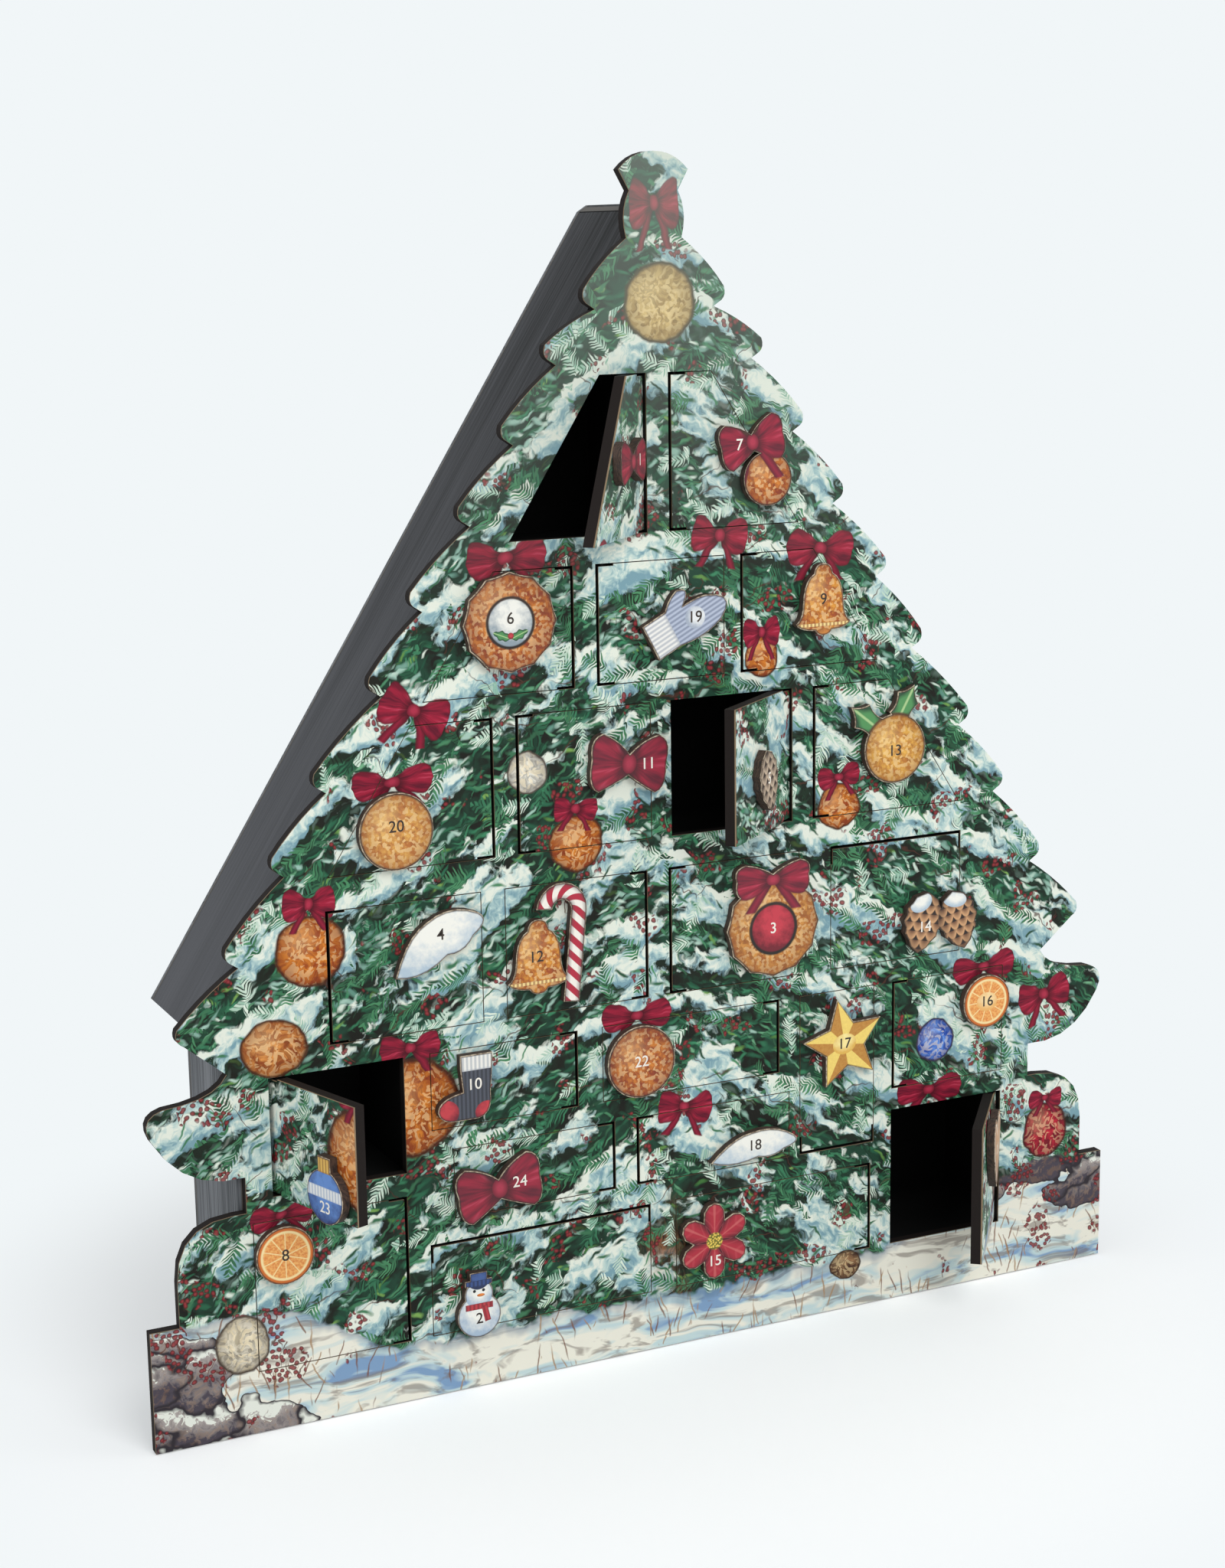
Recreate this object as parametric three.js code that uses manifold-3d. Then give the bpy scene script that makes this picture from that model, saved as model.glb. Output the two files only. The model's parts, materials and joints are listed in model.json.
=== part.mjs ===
// Advent calendar: a painted fir-tree board with numbered doors, on the front of a tall peaked box.
// Millimetres. X to the right, Y from the front to the back, Z up.
// The origin is on the underside of the bottom board, halfway between the tree's face and the back.

import * as THREE from 'three';
import { mergeVertices } from 'three/addons/utils/BufferGeometryUtils.js';
import Module from 'manifold-3d';

const manifold = await Module();
manifold.setup();

// Boards and the depth of the whole calendar
const calendarDepth = 65;
const treeThickness = 5;
const boxThickness = 5;
const backThickness = 3;
const dividerThickness = 2.5;
const glueGap = 0.3;

// The box: upright sides, eaves that stand out past them, and two roof boards that lean together.
// The eaves lie a set rise above the middle windows' sill, and the peak above the crown windows' top.
const sideHalf = 184;
const eaveOverhang = 14.2;
const eaveRise = 9.8;
const peakRise = 67.3;

// The tree board's foot, shoulder, neck and drooping lowest bough: heights, and how far each reaches
// past the box's sides
const plinthOverhang = 39;
const plinthTop = 50;
const shoulderOverhang = 27;
const shoulderTop = 92;
const shoulderRound = 24;
const neckInset = 2;
const neckTop = 107;
const droopReach = 37;
const droopZ = 132;
const droopNotchReach = 3.5;
const droopNotchZ = 149.5;

// Each bough's tip from the lowest to the highest: how far it reaches past the roof, and its share of
// the way from the eaves to the peak
const boughTips = [
	[11.2, 0.013], [9, 0.107], [10.4, 0.214], [11.9, 0.313], [10.5, 0.426],
	[12.7, 0.527], [11.9, 0.628], [12.2, 0.725], [12.5, 0.821], [8.8, 0.888],
];
const notchDepth = 5;
const notchDrop = 7.2;
const tipRound = 2.4;
const boughSwell = 1.6;

// The fan-shaped knot on top of the tree: its foot's half width and drop below the peak, then half
// widths and heights above the foot
const knotFootHalf = 12;
const knotFootDrop = 15.3;
const knotBulge = [14.8, 10];
const knotWaist = [10.5, 18];
const fanCorner = [15, 26];
const knotHeight = 33;

// Rows of doors: the sill, then each row's height and the web of board under it
const sill = 25.5;
const footHeight = 39.5;
const underWeb = 9.4;
const underHeight = 29.6;
const lowerWeb = 9;
const lowerHeight = 32.5;
const middleWeb = 9.5;
const middleHeight = 54;
const upperWeb = 13;
const upperHeight = 56.5;
const highWeb = 8.5;
const highHeight = 49;
const crownWeb = 11;
const crownHeight = 63;
const cellarHeight = 62;
const wingWeb = 9.5;

// Posts: the strips of board between two windows, as each one's left and right edge
const crownPost = [ - 4.3, 5.3 ];
const highPosts = [ [ - 37.3, - 27.7 ], [ 30, 37.3 ] ];
const upperPosts = [ [ - 73.3, - 63.7 ], [ - 4, 5 ], [ 61.7, 71.3 ] ];
const middlePosts = [ [ - 80, - 70 ], [ - 6.3, 3.3 ], [ 65, 80 ] ];
const lowerPosts = [ [ - 115, - 104 ], [ - 39, - 28 ], [ 55.2, 65 ], [ 102, 110.9 ] ];
const underPosts = [ [ - 115.3, - 95 ], [ - 22.6, - 12.9 ], [ 60, 65 ] ];
const footPosts = [ [ - 115.3, - 106 ], [ - 6.7, 5 ], [ 100.5, 110.7 ] ];

// Outer edges of the outer windows: where they lie, or how far inside the box's sides
const middleEnds = [ - 145.4, 145 ];
const wingInsets = [ 12.8, 16 ];
const cellarInsets = [ 4, 16.3 ];

// Doors and their hidden pivot pins
const hingeSeam = 1.4;
const cutGap = 0.4;
const reliefGap = 1.2;
const reliefLength = 8;
const slantInset = 18;
const pinRadius = 0.8;
const pinClearance = 0.3;
const pinReach = 2.2;
const pinSides = 8;

// Cut-out ornaments glued on the doors as knobs
const ornamentThickness = 3.5;
const discSides = 32;
const curveSteps = 5;

const treeFrontY = -calendarDepth / 2;
const treeBackY = treeFrontY + treeThickness;
const backFrontY = calendarDepth / 2 - backThickness;
const boxDepth = backFrontY - treeBackY;
const eaveHalf = sideHalf + eaveOverhang;

const foot = rowAbove( { top: 0 }, sill, footHeight );
const under = rowAbove( foot, underWeb, underHeight );
const lower = rowAbove( under, lowerWeb, lowerHeight );
const middle = rowAbove( lower, middleWeb, middleHeight );
const upper = rowAbove( middle, upperWeb, upperHeight );
const high = rowAbove( upper, highWeb, highHeight );
const crown = rowAbove( high, crownWeb, crownHeight );
const cellar = rowAbove( { top: 0 }, sill, cellarHeight );
const wing = { bottom: cellar.top + wingWeb, top: lower.top };
const tall = { bottom: under.bottom, top: lower.top };

const eaveZ = middle.bottom + eaveRise;
const peakZ = crown.top + peakRise;
const roofSlope = eaveHalf / ( peakZ - eaveZ );
const roofAngle = Math.atan( roofSlope );
const roofBreadth = boxThickness / Math.cos( roofAngle );
const roofGap = glueGap / Math.cos( roofAngle );
const knotFoot = [ knotFootHalf, peakZ - knotFootDrop ];

// Every door: its window's left and right edges, its row, the hinged edge, the angle that it stands
// open at, and its ornament's outline, centre and turn. The centre is measured from the hinged edge,
// and along it from the window's lower or left end. An outer edge that is slanted follows the roof.
const slanted = 'slanted';
const doors = [
	{
		number: 1, row: crown, left: slanted, right: crownPost[ 0 ], hinge: 'right',
		open: 45, art: bow( 30, 17 ), at: [ 24, 30 ],
	},
	{
		number: 7, row: crown, left: crownPost[ 1 ], right: slanted, hinge: 'left',
		art: ballAndBow(), at: [ 38, 26 ],
	},
	{
		number: 6, row: high, left: slanted, right: highPosts[ 0 ][ 0 ], hinge: 'right',
		art: wreath( 20 ), at: [ 29, 29 ],
	},
	{
		number: 19, row: high, left: highPosts[ 0 ][ 1 ], right: highPosts[ 1 ][ 0 ], hinge: 'left',
		art: mitten( 25, 38 ), at: [ 39, 25 ], turn: - 62,
	},
	{
		number: 9, row: high, left: highPosts[ 1 ][ 1 ], right: slanted, hinge: 'left',
		art: bell( 26, 30 ), at: [ 37, 28 ],
	},
	{
		number: 20, row: upper, left: slanted, right: upperPosts[ 0 ][ 0 ], hinge: 'right',
		art: disc( 15.5 ), at: [ 43, 16 ],
	},
	{
		number: 11, row: upper, left: upperPosts[ 0 ][ 1 ], right: upperPosts[ 1 ][ 0 ], hinge: 'left',
		art: bow( 35, 24 ), at: [ 48, 33 ], turn: - 6,
	},
	{
		number: 5, row: upper, left: upperPosts[ 1 ][ 1 ], right: upperPosts[ 2 ][ 0 ], hinge: 'right',
		open: 38, art: cone( 19, 27 ), at: [ 31, 23 ], turn: 14,
	},
	{
		number: 13, row: upper, left: upperPosts[ 2 ][ 1 ], right: slanted, hinge: 'left',
		art: ballAndHolly(), at: [ 38, 27 ],
	},
	{
		number: 4, row: middle, left: middleEnds[ 0 ], right: middlePosts[ 0 ][ 0 ], hinge: 'left',
		art: drift( 43, 20 ), at: [ 45, 37 ], turn: 20,
	},
	{
		number: 12, row: middle, left: middlePosts[ 0 ][ 1 ], right: middlePosts[ 1 ][ 0 ], hinge: 'right',
		art: bellAndCane(), at: [ 46, 28 ],
	},
	{
		number: 3, row: middle, left: middlePosts[ 1 ][ 1 ], right: middlePosts[ 2 ][ 0 ], hinge: 'left',
		art: wreathAndBow(), at: [ 47, 24 ],
	},
	{
		number: 14, row: middle, left: middlePosts[ 2 ][ 1 ], right: middleEnds[ 1 ], hinge: 'top',
		art: conePair(), at: [ 38, 53 ],
	},
	{
		number: 23, row: wing, left: wingInsets[ 0 ] - sideHalf, right: lowerPosts[ 0 ][ 0 ], hinge: 'left',
		open: 72, art: bauble( 11 ), at: [ 41, 10 ],
	},
	{
		number: 10, row: lower, left: lowerPosts[ 0 ][ 1 ], right: lowerPosts[ 1 ][ 0 ], hinge: 'right',
		art: stocking( 25, 27 ), at: [ 51, 17 ],
	},
	{
		number: 22, row: lower, left: lowerPosts[ 1 ][ 1 ], right: lowerPosts[ 2 ][ 0 ], hinge: 'right',
		art: disc( 15.5 ), at: [ 67, 16 ],
	},
	{
		number: 17, row: tall, left: lowerPosts[ 2 ][ 1 ], right: lowerPosts[ 3 ][ 0 ], hinge: 'bottom',
		art: star( 20.5 ), at: [ 48, 20 ], turn: 10,
	},
	{
		number: 16, row: wing, left: lowerPosts[ 3 ][ 1 ], right: sideHalf - wingInsets[ 1 ], hinge: 'left',
		art: disc( 12 ), at: [ 46.5, 34 ],
	},
	{
		number: 24, row: under, left: underPosts[ 0 ][ 1 ], right: underPosts[ 1 ][ 0 ], hinge: 'right',
		art: bow( 38, 24 ), at: [ 54, 11 ], turn: 8,
	},
	{
		number: 18, row: under, left: underPosts[ 1 ][ 1 ], right: underPosts[ 2 ][ 0 ], hinge: 'left',
		art: drift( 42, 14 ), at: [ 54, 9 ],
	},
	{
		number: 8, row: cellar, left: cellarInsets[ 0 ] - sideHalf, right: footPosts[ 0 ][ 0 ], hinge: 'right',
		art: disc( 12 ), at: [ 53, 48 ],
	},
	{
		number: 2, row: foot, left: footPosts[ 0 ][ 1 ], right: footPosts[ 1 ][ 0 ], hinge: 'top',
		art: snowman( 19, 28 ), at: [ 28, 19 ],
	},
	{
		number: 15, row: foot, left: footPosts[ 1 ][ 1 ], right: footPosts[ 2 ][ 0 ], hinge: 'right',
		art: poinsettia( 17 ), at: [ 79, 19 ],
	},
	{
		number: 21, row: cellar, left: footPosts[ 2 ][ 1 ], right: sideHalf - cellarInsets[ 1 ], hinge: 'right',
		open: 51, art: heart( 26, 33 ), at: [ 33, 44 ],
	},
];

function rowAbove( below, web, height ) {

	const bottom = below.top + web;
	return { bottom, top: bottom + height };

}

// Flat outlines

function shapeOf( points ) {

	return new THREE.Shape( points.map( ( [ x, y ] ) => new THREE.Vector2( x, y ) ) );

}

// The whole of a symmetrical outline, from its right half that runs from the axis back to the axis
function mirrored( half ) {

	const right = half.getPoints( curveSteps );
	const left = right.filter( ( p ) => p.x > 0 ).reverse().map( ( p ) => new THREE.Vector2( - p.x, p.y ) );
	return new THREE.Shape( [ ...right, ...left ] );

}

// An outline round the origin whose radius is a function of the angle
function polar( radius, steps ) {

	const points = [];

	for ( let i = 0; i < steps; i ++ ) {

		const angle = i / steps * Math.PI * 2;
		const r = radius( angle );
		points.push( [ r * Math.sin( angle ), r * Math.cos( angle ) ] );

	}

	return shapeOf( points.reverse() );

}

function disc( radius ) {

	return [ polar( () => radius, discSides ) ];

}

function wreath( radius ) {

	const tufts = 12;
	return [ polar( ( angle ) => radius * ( 0.97 + 0.03 * Math.cos( tufts * angle ) ), tufts * 3 ) ];

}

function star( radius ) {

	const points = 5;
	const waist = 0.5;
	const inner = ( angle ) => Math.round( angle / Math.PI * points ) % 2 === 1;
	return [ polar( ( angle ) => inner( angle ) ? radius * waist : radius, points * 2 ) ];

}

function poinsettia( radius ) {

	const petals = 6;
	const petal = ( angle ) => Math.pow( Math.abs( Math.cos( petals * angle / 2 ) ), 0.8 );
	return [ polar( ( angle ) => radius * ( 0.6 + 0.4 * petal( angle ) ), petals * 6 ) ];

}

function bow( w, h ) {

	const half = new THREE.Path();
	half.moveTo( 0, h * 0.16 );
	half.quadraticCurveTo( w * 0.14, h * 0.4, w * 0.36, h * 0.5 );
	half.quadraticCurveTo( w * 0.54, h * 0.42, w * 0.48, h * 0.04 );
	half.quadraticCurveTo( w * 0.52, - h * 0.44, w * 0.36, - h * 0.5 );
	half.quadraticCurveTo( w * 0.16, - h * 0.36, 0, - h * 0.2 );
	return [ mirrored( half ) ];

}

function bell( w, h ) {

	const half = new THREE.Path();
	half.moveTo( 0, h * 0.5 );
	half.quadraticCurveTo( w * 0.15, h * 0.5, w * 0.17, h * 0.36 );
	half.quadraticCurveTo( w * 0.36, h * 0.28, w * 0.37, - h * 0.06 );
	half.quadraticCurveTo( w * 0.38, - h * 0.26, w * 0.5, - h * 0.32 );
	half.quadraticCurveTo( w * 0.44, - h * 0.42, w * 0.15, - h * 0.43 );
	half.quadraticCurveTo( w * 0.11, - h * 0.5, 0, - h * 0.5 );
	return [ mirrored( half ) ];

}

function heart( w, h ) {

	const half = new THREE.Path();
	half.moveTo( 0, h * 0.3 );
	half.quadraticCurveTo( w * 0.1, h * 0.5, w * 0.28, h * 0.5 );
	half.quadraticCurveTo( w * 0.5, h * 0.48, w * 0.5, h * 0.2 );
	half.quadraticCurveTo( w * 0.46, - h * 0.12, 0, - h * 0.5 );
	return [ mirrored( half ) ];

}

// A pine cone, whose scales step its outline in and out
function cone( w, h ) {

	const scales = 5;
	const half = new THREE.Path();
	half.moveTo( 0, h * 0.5 );

	for ( let i = 1; i < scales * 2; i ++ ) {

		const down = i / ( scales * 2 );
		const swell = Math.sin( Math.PI * Math.pow( down, 0.85 ) );
		const tuck = i % 2 === 0 ? 0.88 : 1;
		half.lineTo( w * 0.5 * Math.pow( swell, 0.7 ) * tuck, h * ( 0.5 - down ) );

	}

	half.lineTo( 0, - h * 0.5 );
	return [ mirrored( half ) ];

}

function mitten( w, h ) {

	const hand = new THREE.Shape();
	hand.moveTo( - w * 0.3, - h * 0.5 );
	hand.lineTo( w * 0.34, - h * 0.5 );
	hand.lineTo( w * 0.34, - h * 0.2 );
	hand.quadraticCurveTo( w * 0.46, h * 0.1, w * 0.34, h * 0.34 );
	hand.quadraticCurveTo( w * 0.1, h * 0.66, - w * 0.16, h * 0.3 );
	hand.quadraticCurveTo( - w * 0.22, h * 0.2, - w * 0.22, h * 0.02 );
	hand.quadraticCurveTo( - w * 0.44, h * 0.22, - w * 0.5, h * 0.02 );
	hand.quadraticCurveTo( - w * 0.46, - h * 0.1, - w * 0.3, - h * 0.2 );
	return [ hand ];

}

function stocking( w, h ) {

	const sock = new THREE.Shape();
	sock.moveTo( - w * 0.1, h * 0.5 );
	sock.lineTo( - w * 0.1, h * 0.28 );
	sock.lineTo( - w * 0.06, - h * 0.06 );
	sock.quadraticCurveTo( - w * 0.5, - h * 0.12, - w * 0.5, - h * 0.32 );
	sock.quadraticCurveTo( - w * 0.46, - h * 0.5, - w * 0.2, - h * 0.5 );
	sock.lineTo( w * 0.2, - h * 0.5 );
	sock.quadraticCurveTo( w * 0.46, - h * 0.46, w * 0.42, - h * 0.1 );
	sock.lineTo( w * 0.46, h * 0.28 );
	sock.lineTo( w * 0.46, h * 0.5 );
	return [ sock ];

}

// A low bank of snow as it lies on a bough
function drift( w, h ) {

	const bank = new THREE.Shape();
	bank.moveTo( - w * 0.5, - h * 0.3 );
	bank.quadraticCurveTo( - w * 0.28, - h * 0.62, w * 0.04, - h * 0.36 );
	bank.quadraticCurveTo( w * 0.2, - h * 0.5, w * 0.34, - h * 0.24 );
	bank.quadraticCurveTo( w * 0.56, - h * 0.1, w * 0.46, h * 0.16 );
	bank.quadraticCurveTo( w * 0.24, h * 0.62, - w * 0.04, h * 0.46 );
	bank.quadraticCurveTo( - w * 0.26, h * 0.4, - w * 0.5, - h * 0.3 );
	return [ bank ];

}

function cane( height, width ) {

	const bend = width * 1.1;
	const stick = new THREE.Shape();
	stick.moveTo( bend + width / 2, - height / 2 );
	stick.lineTo( bend + width / 2, height / 2 - bend );
	stick.absarc( 0, height / 2 - bend, bend + width / 2, 0, Math.PI, false );
	stick.lineTo( - bend + width / 2, height / 2 - bend );
	stick.absarc( 0, height / 2 - bend, bend - width / 2, Math.PI, 0, true );
	stick.lineTo( bend - width / 2, - height / 2 );
	return [ stick ];

}

function bar( w, h ) {

	const corners = [ [ - 1, - 1 ], [ 1, - 1 ], [ 1, 1 ], [ - 1, 1 ] ];
	return [ shapeOf( corners.map( ( [ x, y ] ) => [ x * w / 2, y * h / 2 ] ) ) ];

}

function leaf( w, h ) {

	const half = new THREE.Path();
	half.moveTo( 0, h * 0.5 );
	half.quadraticCurveTo( w * 0.18, h * 0.3, w * 0.5, h * 0.22 );
	half.quadraticCurveTo( w * 0.26, 0, w * 0.44, - h * 0.2 );
	half.quadraticCurveTo( w * 0.16, - h * 0.26, 0, - h * 0.5 );
	return [ mirrored( half ) ];

}

// Outlines moved and turned, so that several of them make one ornament
function moved( outlines, x, y, turn = 0 ) {

	const angle = THREE.MathUtils.degToRad( turn );
	const centre = new THREE.Vector2();
	const place = ( p ) => p.clone().rotateAround( centre, angle ).add( new THREE.Vector2( x, y ) );
	return outlines.map( ( outline ) => new THREE.Shape( outline.getPoints( curveSteps ).map( place ) ) );

}

function bauble( radius ) {

	return [ ...disc( radius ), ...moved( bar( radius * 0.7, radius * 0.6 ), 0, radius * 1.15 ) ];

}

function snowman( w, h ) {

	const body = w / 2;
	const head = w * 0.33;
	const headY = h / 2 - head * 1.5;
	const brim = moved( bar( head * 1.9, head * 0.4 ), 0, headY + head * 0.8 );
	const hat = moved( bar( head * 1.2, head ), 0, h / 2 - head / 2 );
	const snow = [ ...moved( disc( body ), 0, body - h / 2 ), ...moved( disc( head ), 0, headY ) ];
	return [ ...snow, ...brim, ...hat ];

}

function ballAndBow() {

	return [ ...moved( disc( 11 ), 5, - 7 ), ...moved( bow( 30, 19 ), - 2, 8, 12 ) ];

}

function ballAndHolly() {

	const leaves = [ ...moved( leaf( 12, 24 ), - 12, 12, 52 ), ...moved( leaf( 12, 22 ), 4, 17, - 30 ) ];
	return [ ...disc( 15 ), ...leaves ];

}

function bellAndCane() {

	return [ ...moved( bell( 27, 31 ), - 5, - 3 ), ...moved( cane( 46, 7 ), 4, 0, - 6 ) ];

}

function wreathAndBow() {

	return [ ...wreath( 22 ), ...moved( bow( 36, 15 ), 0, 20 ) ];

}

function conePair() {

	return [ ...moved( cone( 20, 27 ), - 9, 0, - 12 ), ...moved( cone( 20, 27 ), 9, - 1, 14 ) ];

}

// Solids

// An outline given in X and Z, as a board of the stated thickness whose front is at frontY
function board( outline, thickness, frontY ) {

	const geometry = new THREE.ExtrudeGeometry( outline, {
		depth: thickness, bevelEnabled: false, curveSegments: curveSteps,
	} );
	geometry.rotateX( Math.PI / 2 );
	geometry.translate( 0, frontY + thickness, 0 );
	return geometry;

}

function solidOf( geometry ) {

	const bare = geometry.index ? geometry.toNonIndexed() : geometry.clone();
	bare.deleteAttribute( 'normal' );
	bare.deleteAttribute( 'uv' );
	const merged = mergeVertices( bare, 1e-4 );
	return new manifold.Manifold( new manifold.Mesh( {
		numProp: 3,
		vertProperties: new Float32Array( merged.attributes.position.array ),
		triVerts: new Uint32Array( merged.index.array ),
	} ) );

}

function geometryOf( solid ) {

	const mesh = solid.getMesh();
	const geometry = new THREE.BufferGeometry();
	geometry.setAttribute( 'position', new THREE.BufferAttribute( mesh.vertProperties, 3 ) );
	geometry.setIndex( new THREE.BufferAttribute( mesh.triVerts, 1 ) );
	geometry.computeVertexNormals();
	return geometry;

}

function join( geometries ) {

	return geometryOf( geometries.map( solidOf ).reduce( ( whole, next ) => whole.add( next ) ) );

}

function cut( geometry, tools ) {

	const start = solidOf( geometry );
	return geometryOf( tools.map( solidOf ).reduce( ( whole, tool ) => whole.subtract( tool ), start ) );

}

// A round bar between two points of the hinge line, along Z or along X
function rod( radius, from, to ) {

	const start = new THREE.Vector3( ...from );
	const end = new THREE.Vector3( ...to );
	const length = start.distanceTo( end );
	const geometry = new THREE.CylinderGeometry( radius, radius, length, pinSides );
	const along = end.clone().sub( start ).normalize();
	const turn = new THREE.Quaternion().setFromUnitVectors( new THREE.Vector3( 0, 1, 0 ), along );
	geometry.applyQuaternion( turn );
	const centre = start.add( end ).multiplyScalar( 0.5 );
	geometry.translate( centre.x, centre.y, centre.z );
	return geometry;

}

function block( low, high ) {

	const size = high.map( ( value, i ) => value - low[ i ] );
	const geometry = new THREE.BoxGeometry( ...size );
	geometry.translate( ...low.map( ( value, i ) => value + size[ i ] / 2 ) );
	return geometry;

}

// Windows and doors

function roofX( z ) {

	return ( peakZ - z ) * roofSlope;

}

function leftEdge( door, z ) {

	return door.left === slanted ? slantInset - roofX( z ) : door.left;

}

function rightEdge( door, z ) {

	return door.right === slanted ? roofX( z ) - slantInset : door.right;

}

function windowCorners( door ) {

	const { bottom, top } = door.row;
	return [
		[ leftEdge( door, bottom ), bottom ], [ rightEdge( door, bottom ), bottom ],
		[ rightEdge( door, top ), top ], [ leftEdge( door, top ), top ],
	];

}

// A door's pivot lies in the middle of its thickness, as far from the seam as half that thickness
function pivot( door ) {

	const inset = hingeSeam + treeThickness / 2;
	const y = treeFrontY + treeThickness / 2;
	const { bottom, top } = door.row;

	if ( door.hinge === 'left' ) return { at: [ door.left + inset, y, bottom ], span: top - bottom };
	if ( door.hinge === 'right' ) return { at: [ door.right - inset, y, bottom ], span: top - bottom };
	const z = door.hinge === 'top' ? top - inset : bottom + inset;
	return { at: [ door.left, y, z ], span: door.right - door.left };

}

const outward = { left: [ 1, 0 ], right: [ - 1, 0 ], top: [ 0, - 1 ], bottom: [ 0, 1 ] };
const turnAxis = { left: [ 0, 0, - 1 ], right: [ 0, 0, 1 ], top: [ - 1, 0, 0 ], bottom: [ 1, 0, 0 ] };

function upright( door ) {

	return door.hinge === 'left' || door.hinge === 'right';

}

// How far the door's free edge lies from its hinged edge, at one end of the hinge
function reach( door, z ) {

	return upright( door ) ? rightEdge( door, z ) - leftEdge( door, z ) : door.row.top - door.row.bottom;

}

// The door's outline from its hinged edge outwards, with a wider seam near the pins
function doorOutline( door ) {

	const { at, span } = pivot( door );
	const inset = hingeSeam + treeThickness / 2;
	const lowReach = reach( door, door.row.bottom ) - cutGap;
	const highReach = reach( door, door.row.top ) - cutGap;
	const rising = ( highReach - lowReach ) / ( door.row.top - door.row.bottom ) * cutGap;
	const across = [
		[ hingeSeam, reliefGap ], [ reliefLength, reliefGap ], [ reliefLength, cutGap ],
		[ lowReach + rising, cutGap ], [ highReach - rising, span - cutGap ],
		[ reliefLength, span - cutGap ], [ reliefLength, span - reliefGap ],
		[ hingeSeam, span - reliefGap ],
	];
	const [ outX, outZ ] = outward[ door.hinge ];
	const flat = across.map( ( [ u, v ] ) => upright( door )
		? [ at[ 0 ] + outX * ( u - inset ), at[ 2 ] + v ]
		: [ at[ 0 ] + v, at[ 2 ] + outZ * ( u - inset ) ] );
	return shapeOf( flat );

}

// The pins run from inside the door into the board, and their sockets from the window's edge
function pivotRods( door, radius, fromEdge, toEdge ) {

	const { at, span } = pivot( door );
	const along = upright( door ) ? [ 0, 0, 1 ] : [ 1, 0, 0 ];
	const point = ( distance ) => at.map( ( value, i ) => value + along[ i ] * distance );
	return [
		rod( radius, point( - fromEdge ), point( - toEdge ) ),
		rod( radius, point( span + fromEdge ), point( span + toEdge ) ),
	];

}

function doorGeometry( door ) {

	const pinRoot = - reliefGap - pinReach;
	const panel = board( doorOutline( door ), treeThickness, treeFrontY );
	return join( [ panel, ...pivotRods( door, pinRadius, pinRoot, pinReach ) ] );

}

function ornamentGeometry( door ) {

	const { at } = pivot( door );
	const [ u, v ] = door.at;
	const inset = hingeSeam + treeThickness / 2;
	const [ outX, outZ ] = outward[ door.hinge ];
	const x = upright( door ) ? at[ 0 ] + outX * ( u - inset ) : at[ 0 ] + v;
	const z = upright( door ) ? at[ 2 ] + v : at[ 2 ] + outZ * ( u - inset );
	const frontY = treeFrontY - glueGap - ornamentThickness;
	const outlines = moved( door.art, x, z, door.turn );
	return join( outlines.map( ( outline ) => board( outline, ornamentThickness, frontY ) ) );

}

// The tree board

function treeOutline() {

	const plinthHalf = sideHalf + plinthOverhang;
	const shoulderHalf = sideHalf + shoulderOverhang;
	const half = new THREE.Path();
	half.moveTo( 0, 0 );
	half.lineTo( plinthHalf, 0 );
	half.lineTo( plinthHalf, plinthTop );
	half.lineTo( shoulderHalf, plinthTop );
	half.lineTo( shoulderHalf, shoulderTop - shoulderRound );
	half.quadraticCurveTo( shoulderHalf, shoulderTop, shoulderHalf - shoulderRound, shoulderTop );
	half.lineTo( sideHalf - neckInset, shoulderTop );
	half.lineTo( sideHalf - neckInset, neckTop );
	addDroop( half );
	const tips = boughTips.map( boughTip );
	tips.forEach( ( tip, i ) => addBough( half, tip, tips[ i + 1 ] ) );
	addKnot( half );
	return mirrored( half );

}

// The lowest bough hangs out and down, with a round end and a hollow upper edge
function addDroop( half ) {

	const tipX = sideHalf + droopReach;
	const notchX = sideHalf + droopNotchReach;
	const blunt = tipRound * 2;
	const underside = [ ( sideHalf - neckInset + tipX ) / 2 + blunt, neckTop - blunt / 2 ];
	half.quadraticCurveTo( ...underside, tipX - blunt / 2, droopZ - blunt );
	half.quadraticCurveTo( tipX + blunt / 2, droopZ + blunt, tipX - blunt * 1.6, droopZ + blunt * 1.5 );
	half.quadraticCurveTo( notchX + blunt, droopZ + blunt * 1.7, notchX, droopNotchZ );

}

function boughTip( [ overhang, share ] ) {

	const z = eaveZ + share * ( peakZ - eaveZ );
	return [ roofX( z ) + overhang, z ];

}

// One bough: a hooked round tip above its notch, then a slightly swollen edge up to the next notch
function addBough( half, [ x, z ], next ) {

	half.lineTo( x - tipRound * 1.2, z - notchDrop + tipRound * 0.6 );
	half.quadraticCurveTo( x + tipRound * 0.5, z - tipRound * 1.6, x - tipRound * 0.2, z + tipRound * 0.3 );
	const end = next ? [ next[ 0 ] - notchDepth, next[ 1 ] - notchDrop ] : knotFoot;
	const bulge = [ ( x + end[ 0 ] ) / 2 + boughSwell, ( z + end[ 1 ] ) / 2 + boughSwell ];
	half.quadraticCurveTo( ...bulge, ...end );

}

function addKnot( half ) {

	const above = ( [ x, rise ] ) => [ x, knotFoot[ 1 ] + rise ];
	const top = knotFoot[ 1 ] + knotHeight;
	half.quadraticCurveTo( ...above( knotBulge ), ...above( knotWaist ) );
	half.lineTo( ...above( fanCorner ) );
	half.quadraticCurveTo( fanCorner[ 0 ] * 0.6, top, 0, top );

}

// A window is cut right through the board, and reaches past both of its faces
function windowTool( door ) {

	const past = 1;
	return board( shapeOf( windowCorners( door ) ), treeThickness + past * 2, treeFrontY - past );

}

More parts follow.
